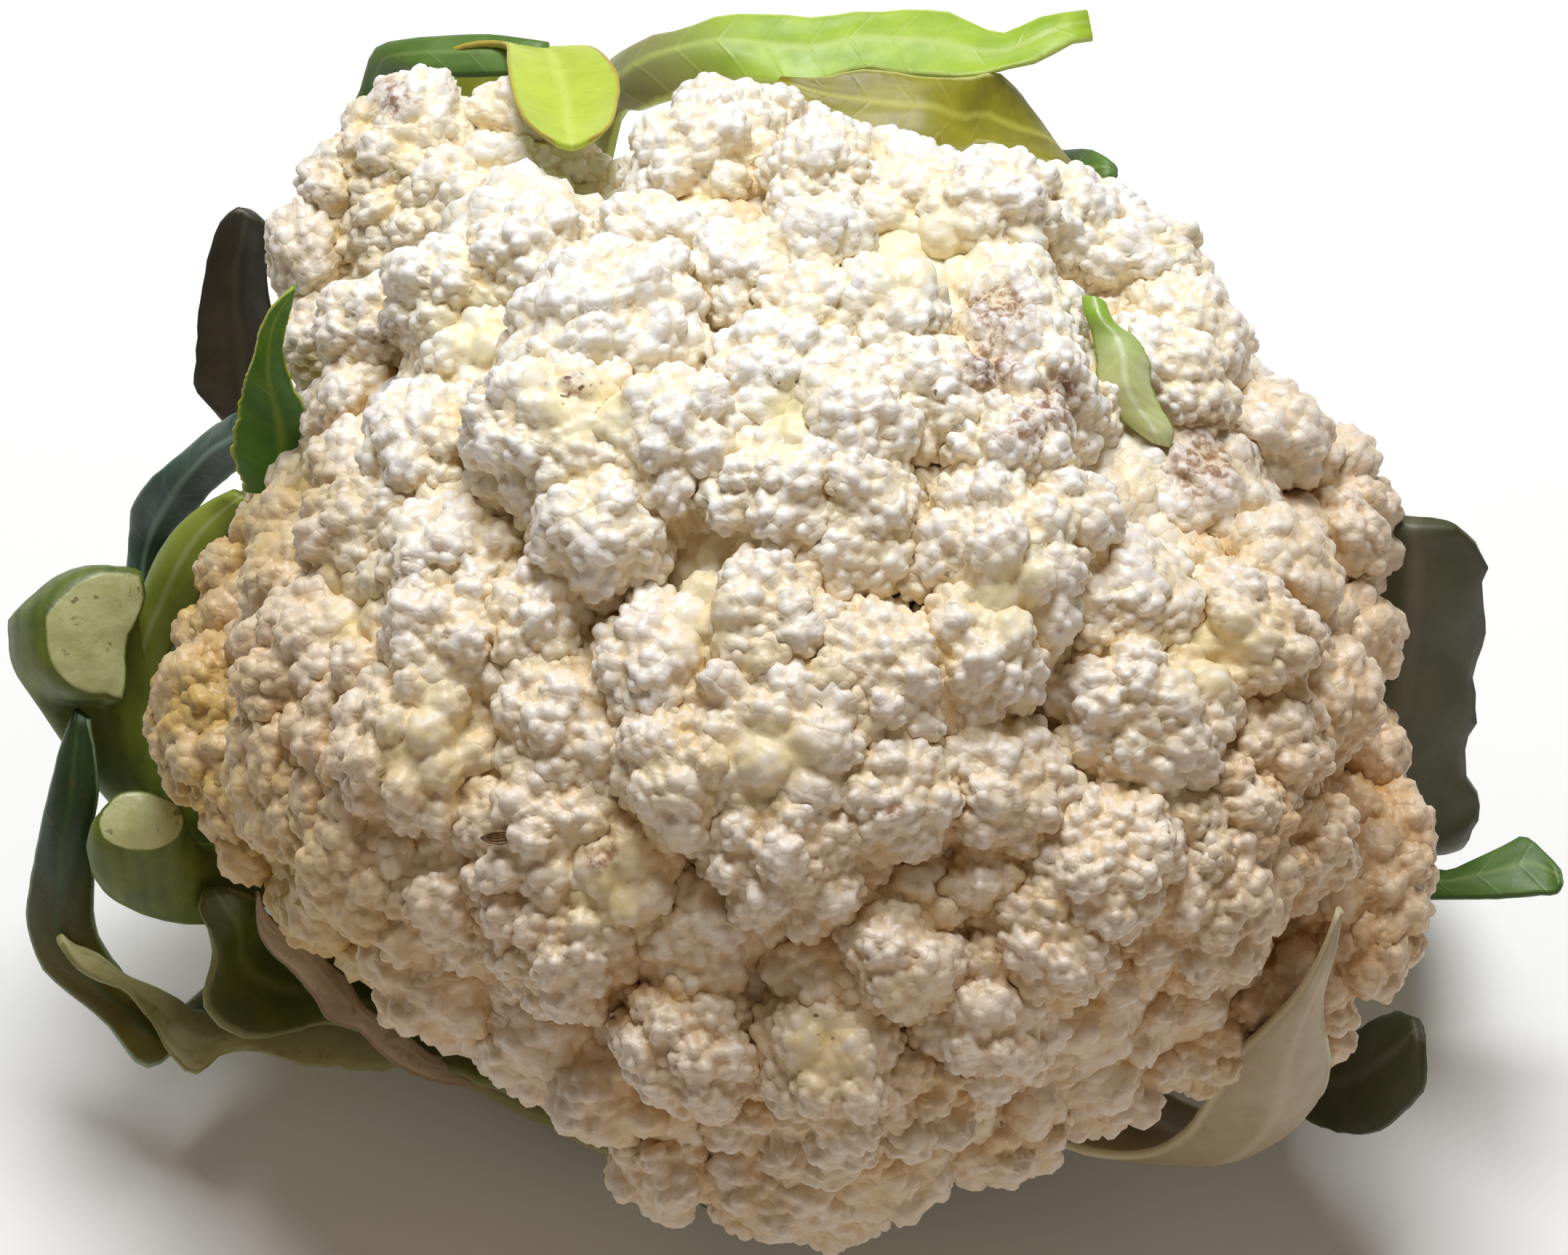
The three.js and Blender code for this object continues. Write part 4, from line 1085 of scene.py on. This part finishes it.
def leafMaterial(name):
    blade, second, rib, rim, blemish, veins = leafLooks[name]
    n = Nodes("leaf_" + name)
    x, span = n.value("across"), n.value("span")
    away = n.maths("ABSOLUTE", x)
    base = n.blend(n.between(n.speckle(7, 4), 0.35, 0.65), blade, second)
    if name in leafFades:
        near, start, end = leafFades[name]
        base = n.blend(n.between(n.value("along"), start, end, 1, 0), base, near)
    line = n.maths("SUBTRACT", n.times(span, 0.16), n.times(away, 0.55))
    vein = n.between(n.maths("ABSOLUTE", n.maths("SUBTRACT", n.maths("FRACT", line), 0.5)), 0.0, 0.08, 1, 0)
    base = n.blend(n.times(vein, veins), base, rib)
    base = n.blend(n.between(away, 0.03, 0.18, 0.6, 0), base, rib)
    edge = n.between(n.maths("ADD", away, n.between(n.speckle(3), 0, 1, -0.05, 0.05)), 0.9, 0.98)
    base = n.blend(n.times(edge, 0.8), base, rim)
    spots = n.between(n.speckle(2.2, 5), 0.58, 0.7)
    base = n.blend(n.times(spots, blemish), base, "5a4a2a")
    roughness = n.between(n.speckle(4), 0.3, 0.7, 0.38, 0.55)
    net = n.bump(n.cells(1.8, "DISTANCE_TO_EDGE"), 0.12, 0.2)
    ribbed = n.bump(vein, 0.2, veins * 2, before=net)
    return n.skin(base, roughness, ribbed, beneath=(0.25, (0.6, 1.0, 0.25), 1.2), shine=0.45)


def growLeaves():
    looks = {name: leafMaterial(name) for name in leafLooks}
    for seed, (name, leaf) in enumerate(leaves.items()):
        parts = [leaf] + folds.get(name, [])
        bm = bmesh.new()
        points, values = [], {"across": [], "along": [], "span": []}
        scrap = bpy.data.meshes.new("scrap")
        ends = []
        for number, part in enumerate(parts):
            blade, places, numbers = growBlade(part, seed + 7 * number)
            blade.to_mesh(scrap)
            bm.from_mesh(scrap)
            ends.append(len(bm.faces))
            blade.free()
            points.append(places)
            for key in values:
                values[key].append(numbers[key])
        bpy.data.meshes.remove(scrap)
        full = {key: np.concatenate(parts) for key, parts in values.items()}
        mesh = finishMesh(name + "_fine", bm, np.concatenate(points), full)
        addPiece(name + "_fine", mesh, looks[leaf["look"]], [name])
        for number, part in enumerate(parts[1:]):
            mesh.materials.append(looks[part["look"]])
            for polygon in mesh.polygons[ends[number]:ends[number + 1]]:
                polygon.material_index = number + 1
        fixNormals(mesh)
    print("leaves:", len(leaves))


def fixNormals(mesh):
    bm = bmesh.new()
    bm.from_mesh(mesh)
    bmesh.ops.recalc_face_normals(bm, faces=bm.faces)
    bm.to_mesh(mesh)
    bm.free()


# cut stumps: bearing and root as for leaves; rings from the stalk to the cut,
# [across, up, height, half across, half up]; the last one is the cut face, and corners are
# factors on its radius at even steps round it
stumps = {
    "stump_left": {
        "bearing": 184, "root": 8, "facing": 0.8, "tiltRight": 0.25,
        "corners": [
            0.68, 0.88, 1.17, 1.3, 1.1, 0.99, 0.91, 0.87, 0.87, 0.88, 0.94, 1.03,
            0.97, 0.98, 0.98, 0.95, 0.94, 0.93, 0.93, 0.96, 1.18, 0.92, 0.72, 0.66,
        ],
        "rings": [
            [-84, -22, 34, 7, 6.5], [-93.5, -13, 47, 6.4, 6.6], [-98.2, -4.2, 56, 7.8, 7.8],
            [-100.6, 2.6, 62, 9.4, 10.6], [-99.5, 3.4, 67, 8.4, 10.4], [-97.8, 3.4, 70, 7.3, 9.6],
        ],
    },
    "stump_lower_left": {
        "bearing": 198, "root": 19, "facing": 0.75, "tiltRight": 0.15,
        "corners": [1.05, 1.0, 0.9, 0.95, 1.0, 0.95, 1.05, 1.1, 1.0, 0.95, 1.0, 1.05],
        "rings": [
            [-74, -30, 34, 5.5, 5], [-84, -31.5, 42, 6.6, 6], [-90, -29, 49, 7.4, 6.6],
            [-91.4, -26.6, 53, 7.2, 6], [-91.6, -24.4, 56, 6.6, 5.4], [-91.2, -22.8, 59, 5.8, 4.6],
        ],
    },
    "stump_front_right": {
        "bearing": 296, "root": 8, "facing": 0.1, "tiltRight": 0,
        "rings": [[22, -66, 15, 7, 6], [24, -68, 18, 6.5, 5.5], [25, -69, 21, 6, 5]],
    },
    "stump_front_left": {
        "bearing": 264, "root": 8, "facing": 0.1, "tiltRight": 0,
        "rings": [[-8, -70, 15, 7, 6], [-9, -72, 19, 6.5, 5.5], [-9, -73, 23, 6, 5]],
    },
    "stump_right": {
        "bearing": 40, "root": 19, "facing": 0.1, "tiltRight": 0,
        "rings": [[58, 20, 38, 8, 6], [64, 28, 48, 8, 6], [66, 34, 57, 8, 6]],
    },
}


stumpShape = {"around": 48, "rings": 32, "insets": 7, "inset": 0.12, "rootHalf": (8, 5)}


# a round bar of radius 1 with rings along it and in its caps: the bm, and each point's share of the
# way up, distance from the axis and angle
def roundBar(shape):
    bm = bmesh.new()
    bmesh.ops.create_cone(
        bm, cap_ends=True, cap_tris=False, segments=shape["around"], radius1=1, radius2=1, depth=2
    )
    uprights = [e for e in bm.edges if abs(e.verts[0].co.z - e.verts[1].co.z) > 1]
    bmesh.ops.subdivide_edges(bm, edges=uprights, cuts=shape["rings"], use_grid_fill=True)
    caps = [f for f in bm.faces if len(f.verts) > 8]
    for _ in range(shape["insets"]):
        bmesh.ops.inset_region(bm, faces=caps, thickness=shape["inset"])
    bmesh.ops.poke(bm, faces=caps)
    flat = np.array([v.co for v in bm.verts])
    radial = np.linalg.norm(flat[:, :2], axis=1)
    return bm, (flat[:, 2] + 1) / 2, radial, np.arctan2(flat[:, 1], flat[:, 0])


def growStump(name, spec, material):
    rows = [[place, *stumpShape["rootHalf"]] for place in rootPlaces(spec)[0]]
    for across, up, height, halfAcross, halfUp in spec["rings"]:
        rows.append([seenAt(across, up, height), halfAcross, halfUp])
    centres = np.array([r[0] for r in rows])
    bm, t, radial, angle = roundBar(stumpShape)
    knots = chordShares(centres)
    centre = curveThrough(centres, t)
    halfAcross = np.interp(t, knots, [r[1] for r in rows])
    halfUp = np.interp(t, knots, [r[2] for r in rows])
    ahead = headingAt(centres, t, 0.01)
    cutWay = unit(toEye * spec["facing"] + np.array([spec["tiltRight"], 0, 0]) + ahead * 0.3)
    if "corners" in spec:
        corners = np.array(spec["corners"] + spec["corners"][:1])
        wayRound = (angle % (2 * np.pi)) / (2 * np.pi)
        bend = np.interp(wayRound * (len(corners) - 1), range(len(corners)), corners)
        bend = 1 + (bend - 1) * smoothStep(0.6, 0.97, t)
        halfAcross, halfUp = halfAcross * bend, halfUp * bend
    share = smoothStep(0.45, 0.9, t)[:, None]
    axis = unit(ahead * (1 - share) + cutWay * share)
    sideways = unit(np.cross(np.broadcast_to(planeUp, axis.shape), axis))
    upward = np.cross(axis, sideways)
    rough = 1 + 0.035 * wobble(np.stack([np.cos(angle) * 6, np.sin(angle) * 6, t * 30], 1), 5, len(name))
    points = (
        centre
        + sideways * (halfAcross * radial * np.cos(angle) * rough)[:, None]
        + upward * (halfUp * radial * np.sin(angle) * rough)[:, None]
    )
    face = (t > 0.999) & (radial < 0.99)
    dome = np.where(face, (1 - radial ** 2) * 0.8 + 0.25 * wobble(points, 3, 5), 0)
    points = points + axis * dome[:, None]
    mesh = finishMesh(name + "_fine", bm, points, {"cut": face})
    fixNormals(mesh)
    addPiece(name + "_fine", mesh, material, [name])


def stumpMaterial():
    n = Nodes("petiole")
    cut = n.value("cut")
    skin = n.blend(n.between(n.speckle(8, 4), 0.35, 0.65), "45561a", "68741f")
    streak = n.add("TexWave", {"Vector": n.place(), "Scale": 120.0, "Distortion": 4.0, "Detail": 3.0})
    skin = n.blend(n.times(streak.outputs["Fac"], 0.15), skin, "8c963e")
    flesh = n.blend(n.between(n.speckle(3.5, 5), 0.35, 0.65), "a9ab72", "bcbd8c")
    specks = n.between(n.speckle(1.7, 4), 0.62, 0.7)
    flesh = n.blend(n.times(specks, 0.7), flesh, "5d4527")
    base = n.blend(n.between(cut, 0.3, 0.7), skin, flesh)
    grain = n.bump(n.speckle(1.2, 4), 0.25, 0.5)
    return n.skin(base, n.between(cut, 0, 1, 0.5, 0.32), grain, beneath=(0.2, (0.8, 1.0, 0.4), 1.5))


stalk = {"radius": 26, "height": 23.4, "around": 96, "rings": 28, "insets": 8, "inset": 0.11, "bevel": 2}


def growStalk():
    bm, t, radial, angle = roundBar(stalk)
    z = t * stalk["height"]
    scars = np.maximum(0, np.sin(5 * angle + 0.5 * z)) * np.sin(np.pi * np.clip(z / 20, 0, 1))
    bevel = np.clip(z / stalk["bevel"], 0, 1)
    radius = (stalk["radius"] - 1.4 + 1.0 * scars - 1.2 * (1 - bevel) ** 2)
    radius = radius + 0.35 * wobble(np.stack([np.cos(angle) * 20, np.sin(angle) * 20, z * 0.3], 1), 5, 4)
    points = np.stack([radius * radial * np.cos(angle), radius * radial * np.sin(angle), z], 1)
    inside = (radial < 0.99) & (t < 0.001)
    points[:, 2] += np.where(inside, 0.25 * (1 - radial ** 2) + 0.1 * (1 + wobble(points, 4, 6)), 0)
    mesh = finishMesh("stalk_trimmed", bm, points, {"cut": inside, "radial": radial})
    fixNormals(mesh)
    n = Nodes("stalk")
    skin = n.blend(n.between(n.speckle(6, 5), 0.35, 0.65), "c3c88e", "9fab62")
    ring = n.between(n.value("radial"), 0.8, 0.9)
    flesh = n.blend(ring, "e3dfbb", "c2c58a")
    base = n.blend(n.value("cut"), skin, flesh)
    material = n.skin(base, 0.55, n.bump(n.speckle(1.5, 5), 0.3, 0.5))
    addPiece("stalk_trimmed", mesh, material, ["stalk"])


# the studio: distances and sizes in metres, powers in watts
lights = {
    "key": {"way": (-0.02, 0.44, 0.9), "far": 1.1, "size": 0.6, "power": 13.5, "tint": (0.95, 0.975, 1.0)},
    "fill": {"way": (0.3, -0.95, 0.12), "far": 1.2, "size": 1.0, "power": 2.1, "tint": (1, 0.8, 0.64)},
}
studio = {"floor": 5, "floorColour": "fbfbfa", "sky": 0.17, "skyTint": (1, 0.88, 0.74, 1)}
camera = {"lens": 106.4, "sensor": 36, "shiftX": -0.005, "shiftY": 0.0197}


def addLight(name, spec):
    data = bpy.data.lights.new(name, "AREA")
    data.shape = "DISK"
    data.size = spec["size"]
    data.energy = spec["power"]
    data.color = spec["tint"]
    light = bpy.data.objects.new(name, data)
    way = Vector(spec["way"]).normalized()
    light.location = Vector(headCentre * mm) + way * spec["far"]
    light.rotation_euler = way.to_track_quat("Z", "Y").to_euler()
    bpy.context.scene.collection.objects.link(light)


def buildStudio():
    bm = bmesh.new()
    bmesh.ops.create_grid(bm, x_segments=1, y_segments=1, size=studio["floor"])
    mesh = bpy.data.meshes.new("floor")
    bm.to_mesh(mesh)
    bm.free()
    floor = bpy.data.objects.new("floor", mesh)
    bpy.context.scene.collection.objects.link(floor)
    mesh.materials.append(Nodes("floor").skin(studio["floorColour"], 0.9))
    for name, spec in lights.items():
        addLight(name, spec)
    world = bpy.data.worlds.new("studio")
    world.use_nodes = True
    background = world.node_tree.nodes["Background"].inputs
    background["Color"].default_value = studio["skyTint"]
    background["Strength"].default_value = studio["sky"]
    scene = bpy.context.scene
    scene.world = world
    scene.view_settings.view_transform = "Standard"

    data = bpy.data.cameras.new("camera")
    data.lens = camera["lens"]
    data.sensor_width = camera["sensor"]
    data.shift_x = camera["shiftX"]
    data.shift_y = camera["shiftY"]
    data.clip_start = 0.05
    view = bpy.data.objects.new("camera", data)
    view.location = eyePoint * mm
    view.rotation_euler = Vector(toEye).to_track_quat("Z", "Y").to_euler()
    scene.collection.objects.link(view)
    scene.camera = view


buildStudio()
curd = curdMaterial()
growCurd(curd)
growHusk()
growLeaves()
petiole = stumpMaterial()
for name, spec in stumps.items():
    growStump(name, spec, petiole)
print("stumps:", len(stumps))
growStalk()
bpy.context.view_layer.update()
